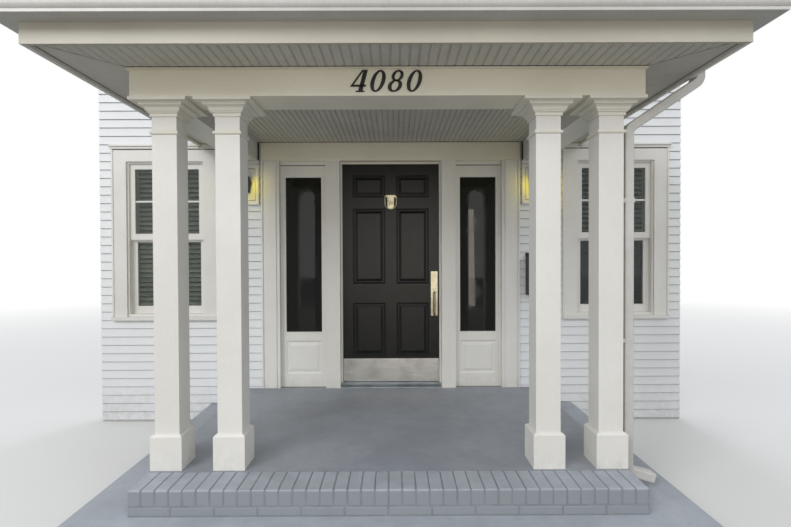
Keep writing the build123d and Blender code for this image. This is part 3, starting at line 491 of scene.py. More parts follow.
def metalSurface(name, look):  # bare metal: fine lines in its gloss, with a duller film in places
    material, tree, shader, place = newMaterial(name, {"Metallic": 1})
    stretched = addNode(tree, "Mapping", {"Scale": look["lineRun"], "Vector": place})
    lines = addNode(tree, "TexNoise", {
        "Scale": 1 / (look["lineSize"] * mm), "Detail": 4, "Roughness": 0.6,
        "Vector": stretched.outputs[0]})
    film = addNode(tree, "TexNoise", {
        "Scale": 1 / (look["filmSize"] * mm), "Detail": 5, "Roughness": 0.6, "Vector": place})
    filmRange = addNode(tree, "MapRange", {
        "From Min": 0.4, "From Max": 0.68, "Value": film.outputs["Fac"]})
    tint = addNode(tree, "Mix", {
        6: hexColour(look["colour"]), 7: hexColour(look["film"]),
        0: filmRange.outputs[0]}, {"data_type": "RGBA"})
    gloss = addNode(tree, "MapRange", {
        "From Min": 0.3, "From Max": 0.7, "To Min": look["roughness"], "To Max": look["dull"],
        "Value": lines.outputs["Fac"]})
    wireFinish(tree, shader, tint.outputs[2], gloss.outputs[0], lines.outputs["Fac"],
               (0.4, look["lineDepth"]))
    return material


# Brushed stainless steel: level hairlines, coarser than the real ones so that they show
brushedSteel = metalSurface("brushedStainlessSteel", {
    "colour": "#dcdbd7", "film": "#aeaca3", "lineRun": (0.01, 1, 1), "lineSize": 1.6, "lineDepth": 0.0012,
    "filmSize": 260, "roughness": 0.22, "dull": 0.28})
# The handle's steel is drawn along its length, tinted a little warmer and darker as a painted reflection of
# warm surroundings
drawnSteel = metalSurface("drawnStainlessSteel", {
    "colour": "#a4a08f", "film": "#8b8776", "lineRun": (1, 1, 0.03), "lineSize": 2.4, "lineDepth": 0.012,
    "filmSize": 200, "roughness": 0.22, "dull": 0.34})
# Polished nickel: bright and warm, with a soft bloom
polishedNickel = metalSurface("polishedNickel", {
    "colour": "#a8a48e", "film": "#7c7863", "lineRun": (1, 1, 1), "lineSize": 14, "lineDepth": 0.02,
    "filmSize": 45, "roughness": 0.14, "dull": 0.28})
# Brass hinges: rubbed, browned in the corners
rubbedBrass = metalSurface("rubbedBrass", {
    "colour": "#b99a5b", "film": "#7c653a", "lineRun": (1, 1, 0.2), "lineSize": 6, "lineDepth": 0.04,
    "filmSize": 22, "roughness": 0.25, "dull": 0.45})
# Mill-finished aluminium: grey, drawn along its length, weathered and nearly matt
millAluminium = metalSurface("millAluminium", {
    "colour": "#bcc4cb", "film": "#9aa2a9", "lineRun": (0.05, 1, 1), "lineSize": 4, "lineDepth": 0.08,
    "filmSize": 120, "roughness": 0.38, "dull": 0.6})


# Asphalt shingles: mineral granules in charcoal greys, each tab with a tone of its own
def shingleSurface(name, look):
    material, tree, shader, place = newMaterial(name, {"Roughness": 0.9, "IOR": 1.45})
    granules = addNode(tree, "TexVoronoi", {"Scale": 1 / (look["granuleSize"] * mm), "Vector": place})
    tabTone = addNode(tree, "NewGeometry").outputs["Random Per Island"]
    patches = addNode(tree, "TexNoise", {
        "Scale": 1 / (look["patchSize"] * mm), "Detail": 3, "Vector": place})
    blend = addNode(tree, "Math", {
        1: look["tabShare"], 0: tabTone, 2: patches.outputs["Fac"]}, {"operation": "MULTIPLY_ADD"})
    blendRange = addNode(tree, "MapRange", {
        "From Min": 0.3, "From Max": 0.7 + look["tabShare"], "Value": blend.outputs[0]})
    tone = addNode(tree, "Mix", {
        6: hexColour(look["dark"]), 7: hexColour(look["pale"]),
        0: blendRange.outputs[0]}, {"data_type": "RGBA"})
    grit = addNode(tree, "SeparateColor", {"Color": granules.outputs["Color"]})
    gritRange = addNode(tree, "MapRange", {"To Min": 0.72, "To Max": 1.15, "Value": grit.outputs[0]})
    gritted = addNode(tree, "Mix", {
        0: 1, 6: tone.outputs[2],
        7: gritRange.outputs[0]}, {"data_type": "RGBA", "blend_type": "MULTIPLY"})
    wireFinish(tree, shader, gritted.outputs[2], None, granules.outputs["Distance"], (0.8, 1.5))
    return material


# granules are 1 to 2 mm; 5 mm here, coarse enough to show
shingleGrit = shingleSurface("graniteShingle", {
    "granuleSize": 5, "patchSize": 380, "tabShare": 0.9, "dark": "#3f3f42", "pale": "#6d6d6e"})
# Felt under the shingles: black and matt, seen only in the slots between the tabs; its black also serves the
# joint strips as painted shade
roofFeltAndJointShade = paintedSurface("bitumenFelt", {
    "colour": "#1b1b1c", "shade": "#232324", "toneSize": 200, "grainSize": 4,
    "grainTint": 0.3, "grainDepth": 0.8, "roughness": 0.92,
    "dirt": "#34332f", "dirtFade": (2.5, 3.4, 0.2, 0.2)})


# Glass
def glassSurface(name, look):  # float glass: clear and flat, with a faint wave and dust that dulls its mirror
    material, tree, shader, place = newMaterial(name, {
        "Base Color": hexColour(look["colour"]), "IOR": 1.5, "Transmission Weight": look["clear"],
        "Specular Tint": hexColour(look["mirror"])})
    dust = addNode(tree, "TexNoise", {  # clouds of about 170 mm
        "Scale": 6, "Detail": 6, "Roughness": 0.7, "Vector": place})
    dustRange = addNode(tree, "MapRange", {
        "From Min": 0.4, "From Max": 0.8, "To Min": 0.01, "To Max": look["dust"],
        "Value": dust.outputs["Fac"]})
    wave = addNode(tree, "TexNoise", {"Scale": 1 / (420 * mm), "Detail": 1, "Vector": place})
    wireFinish(tree, shader, None, dustRange.outputs[0], wave.outputs["Fac"], (0.3, look["wave"]))
    return material


# its reflection is tinted grey: painted shade on the mirrored white surround
windowGlass = glassSurface("clearFloatGlass", {
    "colour": "#dfe6e2", "clear": 0.95, "wave": 0.25, "dust": 0.02, "mirror": "#868a88"})
# The sidelights' glass is near black and lets no light through: painted shade for the unlit hall behind it,
# with a full mirror so that it reads as glass
hallGlass = glassSurface("glassDarkAsUnlitHall", {
    "colour": "#151714", "clear": 0.0, "wave": 0.8, "dust": 0.14, "mirror": "#ffffff"})

# Seeded amber glass of the lanterns, lit from inside: warm, its tone a little uneven
lanternGlass, lanternTree, lanternShader, lanternPlace = newMaterial("litAmberGlass", {
    "Base Color": hexColour("#e6c774"), "Roughness": 0.3, "Emission Strength": 8})
seeds = addNode(lanternTree, "TexNoise", {"Scale": 1 / (16 * mm), "Detail": 3, "Vector": lanternPlace})
warmRange = addNode(lanternTree, "Mix", {
    6: hexColour("#e4cf38"), 7: hexColour("#f2e75e"), 0: seeds.outputs["Fac"]}, {"data_type": "RGBA"})
lanternTree.links.new(warmRange.outputs[2], lanternShader.inputs["Emission Color"])

nodeMaterials = (
    (stepPaint, ["lower_step"]),
    (floorPaint, ["porch_floor"]),
    (brickPaint, ["brick_edging"]),
    (footingConcrete, ["wall_below"]),
    (plasterPaint, ["wall_left", "wall_right", "wall_above"]),
    (trimPaint, ["column_bases", "column_outer_left", "column_inner_left", "column_inner_right",
                 "column_outer_right", "side_beam_left", "side_beam_right", "fascia_left", "fascia_right",
                 "pilasters", "door_posts", "sidelights", "window_trim", "window_sashes", "lantern_blocks"]),
    (acrossPaint, ["front_beam", "header_board", "door_head"]),
    (capitalPaint, ["capitals"]),
    (fasciaPaint, ["fascia_front"]),
    (ceilingPaint, ["porch_ceiling", "soffit_front", "soffit_left", "soffit_right"]),
    (gutterEnamel, ["gutter_front", "gutter_left", "gutter_right", "downspout_offset", "downspout_pipe",
                    "downspout_shoe", "downspout_straps"]),
    (roofFeltAndJointShade, ["roof_front", "roof_left", "roof_right"]),
    (shingleGrit, ["ridge_caps"]),
    (millAluminium, ["wall_flashing", "threshold"]),
    (hallGlass, ["sidelight_glass"]),
    (windowGlass, ["window_glass"]),
    (doorPaint, ["door_leaf"]),
    (brushedSteel, ["kick_plate"]),
    (drawnSteel, ["door_handle"]),
    (polishedNickel, ["knocker_plate", "knocker_bail"]),
    (rubbedBrass, ["door_hinges", "frame_hinges"]),
    (powderCoat, ["lanterns", "letter_box"]),
)
for material, names in nodeMaterials:
    for name in names:
        for materialSlot in nodes[name].material_slots:
            materialSlot.material = material
print("materials set on", sum(len(names) for material, names in nodeMaterials), "nodes")


# Lapped boards over the walls, cut round the doorway, the windows and the roof

clapboards = {"exposure": 76.2 * mm, "butt": 14 * mm, "tip": 4 * mm, "start": 16 * mm, "gap": 0.6 * mm,
              "flashing": 38 * mm, "deepCut": 0.1, "overlap": 0.01, "roofDrop": 0.03}
eave = {"fascia": 0.022, "deckOver": 37 * mm, "bedMould": 12 * mm}
casing = {"width": 0.97, "sill": 32 * mm, "clear": 1 * mm}  # the board and sill round each window
seat = 0.5 * mm  # how far planted trim sinks into what carries it
blockHalf = 0.126  # half the width of a lantern's block
sides = (("left", -1), ("right", 1))
wallLow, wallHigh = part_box("wall_left")
wallEnd = -wallLow[0]
wallTop = wallHigh[2]
trimLow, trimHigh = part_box("window_trim")
sashLow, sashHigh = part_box("window_sashes")
pilasterLow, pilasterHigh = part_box("pilasters")
ceilingLow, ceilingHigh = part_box("porch_ceiling")
fasciaLow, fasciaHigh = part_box("fascia_front")
roofLow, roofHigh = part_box("roof_right")
gutterLow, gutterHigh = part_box("gutter_right")
sideLow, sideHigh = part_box("side_beam_right")
blockLow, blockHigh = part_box("lantern_blocks")
casingInner = trimHigh[0] - casing["width"]
sillTop = trimLow[2] + casing["sill"]
deckEdge = roofHigh[0]
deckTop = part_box("gutter_front")[1][2] + eave["deckOver"]
deckRise = (roofHigh[2] - deckTop) / deckEdge

board = startBlock("clapboards", (-wallEnd, -clapboards["butt"], clapboards["start"]),
                   (wallEnd, 0, clapboards["start"] + clapboards["exposure"] - clapboards["gap"]))
boardMiddle = clapboards["start"] + clapboards["exposure"] / 2
movePoints(board, lambda p: p.y < -clapboards["butt"] / 2 and p.z > boardMiddle,
           (0, clapboards["butt"] - clapboards["tip"], 0))
boardCount = math.ceil((wallTop - clapboards["start"]) / clapboards["exposure"])
repeatPiece(board, boardCount, (0, 0, clapboards["exposure"]))
trimPiece(board, (0, 0, wallTop), (0, 0, 1))

deep = clapboards["deepCut"]
overlap = clapboards["overlap"]
sideCuts = (  # name, from and to sideways, from and to in height
    ("cutWindow", casingInner + casing["clear"], trimHigh[0] - casing["clear"], sillTop, trimHigh[2]),
    ("cutSill", casingInner, trimHigh[0], trimLow[2], sillTop + casing["clear"]),
    ("cutLantern", blockHigh[0] - 2 * blockHalf, blockHigh[0], blockLow[2], blockHigh[2] + overlap),
    ("cutBeam", pilasterHigh[0] - overlap, sideHigh[0], sideLow[2], ceilingLow[2]),
    ("cutFascia", fasciaHigh[0] - eave["fascia"], fasciaHigh[0], fasciaLow[2], ceilingLow[2]),
    ("cutGutter", fasciaHigh[0] - overlap, gutterHigh[0], gutterLow[2], gutterHigh[2]),
)
cutters = [startBlock("cutDoorway", (-pilasterHigh[0], -deep, -deep),
                      (pilasterHigh[0], deep, ceilingLow[2] + 2 * overlap))]
for side, sign in sides:
    for name, x0, x1, z0, z1 in sideCuts:
        cutters.append(sideBlock(name, sign, (x0, -deep, z0), (x1, deep, z1)))
roofCut = startBlock("cutRoof", (-deckEdge, -deep, ceilingLow[2] - clapboards["roofDrop"]),
                     (deckEdge, deep, deckTop + clapboards["flashing"]))
splitPiece(roofCut, (0, 0, 0), (1, 0, 0))
movePoints(roofCut, lambda p: abs(p.x) < 1 * mm and p.z > deckTop, (0, 0, deckRise * deckEdge))
for cutter in [*cutters, roofCut]:
    cutAway(board, cutter)
finishPiece(board, sidingPaint)
print("clapboards:", boardCount, "courses")


# Beaded boards on the ceiling, running out from the house, and under the front eave

beadboards = {"ceilingPitch": 41.3 * mm, "soffitPitch": 49.5 * mm, "bead": 6 * mm, "gap": 1.6 * mm,
              "thickness": 4 * mm, "mitreGap": 4 * mm, "edgeGap": 4 * mm, "wallGap": 15 * mm,
              "flatRound": 1.2 * mm, "beadRound": 2.6 * mm}
beamLow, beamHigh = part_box("front_beam")
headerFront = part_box("header_board")[0][1]
soffitLow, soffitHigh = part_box("soffit_front")
beamHalf = sideHigh[0] - eave["bedMould"]  # the side beam without its bed mould
mitreGap = beadboards["mitreGap"]
edgeGap = beadboards["edgeGap"]


def layBeadboard(name, pitch, x0, x1, y0, y1, z):  # one board and its bead, repeated across
    foot = z - beadboards["thickness"]
    beadEnd = x0 + pitch - beadboards["gap"]
    beadStart = beadEnd - beadboards["bead"]
    flat = startBlock("boardFlat", (x0, y0, foot), (beadStart - beadboards["gap"], y1, z + seat))
    bead = startBlock("boardBead", (beadStart, y0, foot), (beadEnd, y1, z + seat))
    roundEdges(flat, beadboards["flatRound"], 1, "foot")
    roundEdges(bead, beadboards["beadRound"], 3, "foot")
    row = joinPieces(name, [flat, bead])
    repeatPiece(row, math.ceil((x1 - x0) / pitch), (pitch, 0, 0))
    trimPiece(row, (x1, 0, 0), (1, 0, 0))
    return row


ceilingBoards = layBeadboard("ceilingBeadboards", beadboards["ceilingPitch"], ceilingLow[0], ceilingHigh[0],
                             beamHigh[1], headerFront, ceilingLow[2])
finishPiece(ceilingBoards, ceilingPaint)
soffitBoards = layBeadboard("soffitBeadboards", beadboards["soffitPitch"], soffitLow[0], soffitHigh[0],
                            soffitLow[1], beamLow[1], soffitLow[2])
for side, sign in sides:
    trimPiece(soffitBoards, (sign * (soffitHigh[0] - mitreGap), soffitLow[1], 0), (sign, 1, 0))
finishPiece(soffitBoards, ceilingPaint)
for side, sign in sides:
    panel = sideBlock("sideSoffitPanel" + side.title(), sign,
                      (beamHalf + edgeGap, soffitLow[1] + edgeGap, soffitLow[2] - beadboards["thickness"]),
                      (soffitHigh[0] - 2 * edgeGap, -beadboards["wallGap"], soffitLow[2] + seat))
    trimPiece(panel, (sign * (soffitHigh[0] + mitreGap), soffitLow[1], 0), (-sign, -1, 0))
    finishPiece(panel, ceilingPaint)
print("beaded boards and soffit panels laid")


# Brick edging: bricks on edge over a course of stretchers, all under thick paint

bricks = {"count": 38, "joint": 5 * mm, "round": 5 * mm, "course": 84 * mm, "stretcherCount": 12,
          "stretcherHigh": 45 * mm, "stretcherDeep": 102 * mm, "returnLong": 0.1, "ledge": 4 * mm,
          "face": 0.5 * mm, "back": 4 * mm, "end": 1 * mm, "bed": 5 * mm, "sway": 0.4, "shift": 1.5 * mm,
          "sink": 1.2 * mm}
mortar = {"inset": 4 * mm, "face": 3.2 * mm, "upper": 6 * mm, "lap": 1 * mm, "round": 2.5 * mm}
edgingLow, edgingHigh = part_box("brick_edging")
random.seed(11)


def layBricks(brick, count, step):  # copies along a row, each turned and set a little differently
    row = []
    for index in range(count):
        copy = copyPiece(brick, "brick", (0, 0, 0))
        centre = Vector([sum(corner[axis] for corner in copy.bound_box) / 8 for axis in range(3)])
        turn = Matrix.Rotation(math.radians(random.uniform(-bricks["sway"], bricks["sway"])), 4, "Z")
        lift = Vector((0, random.uniform(0, bricks["shift"]), random.uniform(-bricks["sink"], 0)))
        place = Matrix.Translation(centre + lift + Vector(step) * index)
        copy.data.transform(place @ turn @ Matrix.Translation(-centre))
        row.append(copy)
    dropPiece(brick)
    return row


edgingLeft = edgingLow[0] + bricks["end"]
edgingRight = edgingHigh[0] - bricks["end"]
edgingBack = edgingHigh[1] - bricks["back"]
pitch = (edgingHigh[0] - edgingLow[0]) / bricks["count"]
rowlockFoot = edgingHigh[2] - bricks["course"]
rowlock = startBlock("rowlock", (edgingLeft, edgingLow[1] + bricks["ledge"], rowlockFoot),
                     (edgingLow[0] + pitch - bricks["joint"], edgingBack, edgingHigh[2]))
laid = layBricks(roundEdges(rowlock, bricks["round"], 2), bricks["count"], (pitch, 0, 0))
longPitch = (edgingHigh[0] - edgingLow[0]) / bricks["stretcherCount"]
brickFoot = edgingLow[2] + bricks["bed"]
brickTop = brickFoot + bricks["stretcherHigh"]
brickBack = edgingLow[1] + bricks["stretcherDeep"]
stretcher = startBlock("stretcher", (edgingLeft, edgingLow[1] + bricks["face"], brickFoot),
                       (edgingLow[0] + longPitch - bricks["joint"], brickBack, brickTop))
laid += layBricks(roundEdges(stretcher, bricks["round"], 2), bricks["stretcherCount"], (longPitch, 0, 0))
for left, right in ((edgingLeft, edgingLow[0] + bricks["returnLong"]),
                    (edgingHigh[0] - bricks["returnLong"], edgingRight)):
    returnBrick = startBlock("returnBrick", (left, brickBack + bricks["joint"], brickFoot),
                             (right, edgingBack, brickTop))
    laid.append(roundEdges(returnBrick, bricks["round"], 2))
edging = joinPieces("edgingBricks", laid)
finishPiece(edging, brickPaint)
mortarLeft = edgingLow[0] + mortar["inset"]
mortarRight = edgingHigh[0] - mortar["inset"]
bedTop = brickTop + bricks["bed"]
upperMortar = startBlock("upperMortar", (mortarLeft, edgingLow[1] + mortar["upper"], bedTop - mortar["lap"]),
                         (mortarRight, edgingHigh[1], edgingHigh[2] - mortar["inset"]))
lowerMortar = startBlock("lowerMortar", (mortarLeft, edgingLow[1] + mortar["face"], edgingLow[2]),
                         (mortarRight, edgingHigh[1], bedTop))
mortars = [roundEdges(piece, mortar["round"], 1, "top") for piece in (upperMortar, lowerMortar)]
finishPiece(joinPieces("edgingMortar", mortars), mortarPaint)
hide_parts("brick_edging")
print("bricks:", len(laid))


# Shingles in courses on the three slopes

shingles = {"tab": 305 * mm, "slot": 8 * mm, "exposure": 143 * mm, "butt": 5 * mm, "tip": 1.2 * mm,
            "lip": 8 * mm, "wallGap": 3 * mm}
deckFront = roofLow[1]
pitchAngle = math.atan(deckRise)
slopeLength = deckEdge / math.cos(pitchAngle)
courseCount = math.ceil((slopeLength + shingles["lip"]) / shingles["exposure"])


def layShingles(name, width, corner, turn, cuts):  # a flat field of tabs, then tilted on to its slope
    tab = startBlock("tab", (-shingles["tab"], -shingles["lip"], 0),
                     (-shingles["slot"], shingles["exposure"] - shingles["lip"], shingles["butt"]))
    movePoints(tab, lambda p: p.z > shingles["tip"] and p.y > 0, (0, 0, shingles["tip"] - shingles["butt"]))
    repeatPiece(tab, math.ceil(width / shingles["tab"]) + 2, (shingles["tab"], 0, 0))
    second = copyPiece(tab, "secondCourse", (shingles["tab"] / 2, shingles["exposure"], 0))
    field = joinPieces(name, [tab, second])
    repeatPiece(field, math.ceil(courseCount / 2), (0, 2 * shingles["exposure"], 0))
    tilt = Matrix.Rotation(turn, 4, "Z") @ Matrix.Rotation(pitchAngle, 4, "X")
    field.data.transform(Matrix.Translation(corner) @ tilt)
    for point, normal in cuts:
        trimPiece(field, point, normal)
    return finishPiece(field, shingleGrit)


def hipCut(sign, side):  # the upright plane through a hip, with the side that is taken off
    return ((sign * deckEdge, deckFront, 0), (sign * side, side, 0))


layShingles("frontShingles", 2 * deckEdge, (-deckEdge, deckFront, deckTop), 0, [hipCut(-1, 1), hipCut(1, 1)])
for side, sign in sides:
    start = (sign * deckEdge, deckFront if sign > 0 else 0, deckTop)
    layShingles(side + "Shingles", -deckFront, start, sign * math.pi / 2, [
        hipCut(sign, -1), ((0, 0, 0), (-sign, 0, 0)),
        ((0, -shingles["wallGap"], 0), (0, 1, 0)), ((0, deckFront, 0), (0, -1, 0))])
print("shingles:", courseCount, "courses on each slope")


# Lapped caps folded over the hips and the short ridge

hipCap = {"wide": 158 * mm, "long": 165 * mm, "exposure": 127 * mm, "thickness": 4 * mm, "head": 9 * mm,
          "foot": 14 * mm, "ridgeLap": 60 * mm, "ridgeEnd": 45 * mm}


def layCaps(name, start, heading, run):  # caps up a line of the roof, folded over it, each lapping the last
    caps = []
    for index in range(math.floor((run - hipCap["long"]) / hipCap["exposure"]) + 1):
        cap = startBlock("cap", (-hipCap["wide"] / 2, 0, 0),
                         (hipCap["wide"] / 2, hipCap["long"], hipCap["thickness"]))
        splitPiece(cap, (0, 0, 0), (1, 0, 0))
        movePoints(cap, lambda p: p.y > hipCap["long"] / 2, (0, 0, hipCap["head"] - hipCap["foot"]))
        away = index * hipCap["exposure"]
        place = (start[0] - math.sin(heading) * away, start[1] + math.cos(heading) * away, hipCap["foot"])
        cap.data.transform(Matrix.Translation(place) @ Matrix.Rotation(heading, 4, "Z"))
        for point in cap.data.vertices:  # set down on the slopes
            toSide = deckEdge - abs(point.co.x)
            point.co.z += deckTop + deckRise * min(toSide, point.co.y - deckFront)
        caps.append(cap)
    finishPiece(joinPieces(name, caps), shingleGrit)
    return len(caps)


hipRun = deckEdge * math.sqrt(2)
capCount = 0
for side, sign in sides:
    capCount += layCaps(side + "HipCaps", (sign * deckEdge, deckFront), sign * math.pi / 4, hipRun)
ridge = deckFront + deckEdge  # where the two hips meet and the ridge starts
capCount += layCaps("ridgeCapShingles", (0, ridge - hipCap["ridgeLap"]), 0, hipCap["ridgeEnd"] - ridge)
print("caps:", capCount)


# Window bars, blinds and the dark shade behind them

windowBars = {"width": 18 * mm, "proud": 9 * mm, "columns": 3, "rows": 2, "bevel": 5 * mm, "glass": 6 * mm}
windowGlazing = {"half": 0.293, "upperLow": 1.719, "frame": 21 * mm}
blinds = {"pitch": 44 * mm, "slat": 50 * mm, "thickness": 2.4 * mm, "crown": 2.5 * mm, "place": 0.104,
          "over": 14 * mm, "tilt": {"left": 36, "right": 20}, "edge": 20 * mm,
          "rail": {"high": 22 * mm, "deep": 40 * mm, "below": 60 * mm, "round": 3 * mm}}
shadeCut = {"front": 0.1285, "back": 0.1305, "hem": 0.6 * mm}
glassLow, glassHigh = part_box("window_glass")
glassHalf = windowGlazing["half"]
windowCentre = glassHigh[0] - glassHalf
upperFront = glassLow[1]
upperBack = upperFront + windowBars["glass"]
upperLow = windowGlazing["upperLow"]
shadeHalf = sashHigh[0] - windowCentre - windowGlazing["frame"]  # the clear width and height of the frame
shadeLow = sashLow[2] + windowGlazing["frame"]
shadeHigh = sashHigh[2] - windowGlazing["frame"]

for side, sign in sides:
    centre = sign * windowCentre
    bars = []
    for y0, y1, face in ((upperFront - windowBars["proud"], upperFront, "front"),
                         (upperBack, upperBack + windowBars["proud"], "back")):
        half = windowBars["width"] / 2
        for row in range(1, windowBars["rows"]):
            z = upperLow + (glassHigh[2] - upperLow) * row / windowBars["rows"]
            bar = startBlock("bar", (centre - glassHalf, y0, z - half), (centre + glassHalf, y1, z + half))
            bars.append(roundEdges(bar, windowBars["bevel"], 2, face))
        for column in range(1, windowBars["columns"]):
            x = centre - glassHalf + 2 * glassHalf * column / windowBars["columns"]
            bar = startBlock("bar", (x - half, y0, upperLow), (x + half, y1, glassHigh[2]))
            bars.append(roundEdges(bar, windowBars["bevel"], 2, face))
    finishPiece(joinPieces(side + "WindowBars", bars), trimPaint)

    # the left blind is let down, the right one is raised to the upper sash
    slatLow = glassLow[2] + blinds["edge"] if side == "left" else upperLow - blinds["edge"]
    slatHalf = glassHalf + blinds["over"]
    slat = startBlock("slat", (centre - slatHalf, -blinds["slat"] / 2, -blinds["thickness"] / 2),
                      (centre + slatHalf, blinds["slat"] / 2, blinds["thickness"] / 2))
    splitPiece(slat, (0, 0, 0), (0, 1, 0))
    movePoints(slat, lambda p: abs(p.y) < 1 * mm, (0, 0, blinds["crown"]))
    tilt = Matrix.Rotation(math.radians(blinds["tilt"][side]), 4, "X")
    slat.data.transform(Matrix.Translation((0, blinds["place"], slatLow)) @ tilt)
    repeatPiece(slat, math.floor((glassHigh[2] - slatLow) / blinds["pitch"]) + 1, (0, 0, blinds["pitch"]))
    blind = [slat]
    if side == "right":
        rail = blinds["rail"]
        railLow = slatLow - rail["below"]
        railHalf = rail["deep"] / 2
        bottomRail = startBlock("bottomRail", (centre - glassHalf, blinds["place"] - railHalf, railLow),
                                (centre + glassHalf, blinds["place"] + railHalf, railLow + rail["high"]))
        blind.append(roundEdges(bottomRail, rail["round"], 2))
    finishPiece(joinPieces(side + "BlindSlats", blind), slatEnamel)
    # a black sheet behind each window, painted shade for the unlit room
    shade = startBlock(side + "DarkShade", (centre - shadeHalf, shadeCut["front"], shadeLow),
                       (centre + shadeHalf, shadeCut["back"], shadeHigh))
    finishPiece(roundEdges(shade, shadeCut["hem"], 2, "foot"), shadeCloth)
print("window bars and blinds hung")


# House number: cast digits with thick and thin strokes, leaning, on the frieze

digit = {"text": "4080", "low": 2.391, "high": 118 * mm, "pitch": 99 * mm, "centre": -3 * mm, "thick": 6 * mm,
         "lean": 0.27, "edge": 0.9 * mm}
castMetal, castTree, castShader, castPlace = newMaterial("blackCastAluminium", {"Roughness": 0.5})
castNoise = addNode(castTree, "TexNoise", {"Scale": 1 / (4 * mm), "Detail": 4, "Vector": castPlace})
castTone = addNode(castTree, "Mix", {
    6: hexColour("#101112"), 7: hexColour("#1c1d1e"), 0: castNoise.outputs["Fac"]}, {"data_type": "RGBA"})
wireFinish(castTree, castShader, castTone.outputs[2], None, castNoise.outputs["Fac"], (0.5, 0.3))


def ovalPlug(z, across, up, reach):  # an upright oval block, as a start
    bpy.ops.mesh.primitive_cylinder_add(vertices=40, radius=0.5, depth=1, rotation=(math.pi / 2, 0, 0))
    plug = bpy.context.active_object
    plug.scale = (across, up, digit["thick"] + 2 * reach)
    plug.location = (0, -digit["thick"] / 2, z)
    bpy.ops.object.transform_apply(location=True, rotation=True, scale=True)
    return plug


def ovalRing(z, across, up, holeAcross, holeUp):  # thick at the sides, thin at the top and foot
    ring = ovalPlug(z, across, up, 0)
    cutAway(ring, ovalPlug(z, holeAcross, holeUp, 1 * mm))
    return ring


def stroke(x0, x1, z0, z1, slide):  # a straight stroke; its top is slid sideways
    bar = startBlock("stroke", (x0, -digit["thick"], z0), (x1, 0, z1))
    movePoints(bar, lambda p: p.z > (z0 + z1) / 2, (slide, 0, 0))
    return bar


high = digit["high"]
digitShapes = {  # the parts of each digit, in shares of its height
    "0": (ovalRing, [(0.5, 0.66, 1, 0.3, 0.86)]),
    "8": (ovalRing, [(0.745, 0.54, 0.51, 0.25, 0.37), (0.28, 0.64, 0.56, 0.3, 0.42)]),
    "4": (stroke, [(0.05, 0.24, 0, 1, 0), (-0.36, 0.34, 0.24, 0.33, 0),
                   (-0.36, -0.27, 0.27, 1, 0.33), (-0.06, 0.35, 0, 0.05, 0)]),
}
lean = Matrix.Identity(4)
lean[0][2] = digit["lean"]  # the higher, the further to the right
frieze = beamLow[1] + eave["bedMould"]  # it stands behind its bed mould
digits = []
for index, character in enumerate(digit["text"]):
    x = digit["centre"] + (index - (len(digit["text"]) - 1) / 2) * digit["pitch"]
    makeShape, parts = digitShapes[character]
    for part in parts:
        shape = roundEdges(makeShape(*(share * high for share in part)), digit["edge"], 2, "front")
        shape.data.transform(Matrix.Translation((x - digit["lean"] * high / 2, frieze, digit["low"])) @ lean)
        digits.append(shape)
finishPiece(joinPieces("houseNumber", digits), castMetal)
print("house number set")


# Lanterns: a tapered cage with four lit panes under a hood, on a bracket from the wall plate

lantern = {"foot": 73 * mm, "head": 108 * mm, "bar": 7 * mm, "eave": 118 * mm, "hood": 101 * mm,
           "cap": 28 * mm, "bowl": 24 * mm, "reach": 59 * mm, "drop": 30 * mm, "cage": 141 * mm,
           "eaveHigh": 6 * mm, "paneInset": 3 * mm, "paneLift": 4 * mm, "bowlInset": 4 * mm,
           "bowlLap": 1 * mm, "knobRound": 3 * mm, "sheetInset": 4 * mm, "sheetFace": 1 * mm,
           "sheetTop": 2 * mm}
cheekPlan = {"lap": 2 * mm, "thickness": 5 * mm, "front": 4 * mm, "back": 12 * mm, "foot": 1 * mm,
             "top": 3 * mm, "bow": 42 * mm}
bracket = {"plateHalf": 40 * mm, "plate": 6 * mm, "ends": 10 * mm, "arm": 8 * mm, "drop": 30 * mm,
           "inCage": 10 * mm, "inPlate": 2 * mm, "flare": 1.6, "round": 2.5 * mm}
lanternLow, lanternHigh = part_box("lanterns")
lanternX = blockHigh[0] - blockHalf
lanternY = lanternLow[1] + lantern["reach"]
cageLow = lanternLow[2] + lantern["drop"]
cageHigh = cageLow + lantern["cage"]
halfFoot = lantern["foot"] / 2
halfHead = lantern["head"] / 2
halfEave = lantern["eave"] / 2
halfBar = lantern["bar"] / 2
spread = halfHead - halfFoot
hoodLow = cageHigh + lantern["eaveHigh"]
cageMiddle = (cageLow + cageHigh) / 2


def taperedBlock(name, lowHalf, highHalf, z0, z1):
    piece = startBlock(name, (lanternX - lowHalf, lanternY - lowHalf, z0),
                       (lanternX + lowHalf, lanternY + lowHalf, z1))
    pickPoints(piece, lambda p: p.z > (z0 + z1) / 2)
    factor = highHalf / lowHalf
    bpy.ops.transform.resize(value=(factor, factor, 1), center_override=(lanternX, lanternY, z1))
    bpy.ops.object.mode_set(mode="OBJECT")
    return piece


paneInset = lantern["paneInset"]
panes = taperedBlock("rightLanternPanes", halfFoot - paneInset, halfHead - paneInset,
                     cageLow + lantern["paneLift"], cageHigh - paneInset)
bpy.ops.mesh.primitive_uv_sphere_add(
    segments=28, ring_count=14, radius=1, location=(lanternX, lanternY, cageLow))
bowl = bpy.context.active_object
bowlHalf = halfFoot - lantern["bowlInset"]
bowl.scale = (bowlHalf, bowlHalf, lantern["bowl"])
bpy.ops.object.transform_apply(location=True, rotation=True, scale=True)
trimPiece(bowl, (lanternX, lanternY, cageLow + lantern["bowlLap"]), (0, 0, 1))
panes = joinPieces("rightLanternPanes", [panes, bowl])
cage = []
for sx in (-1, 1):
    for sy in (-1, 1):
        x = lanternX + sx * (halfFoot - halfBar)
        y = lanternY + sy * (halfFoot - halfBar)
        bar = startBlock("cageBar", (x - halfBar, y - halfBar, cageLow), (x + halfBar, y + halfBar, cageHigh))
        movePoints(bar, lambda p: p.z > cageMiddle, (sx * spread, sy * spread, 0))
        cage.append(bar)
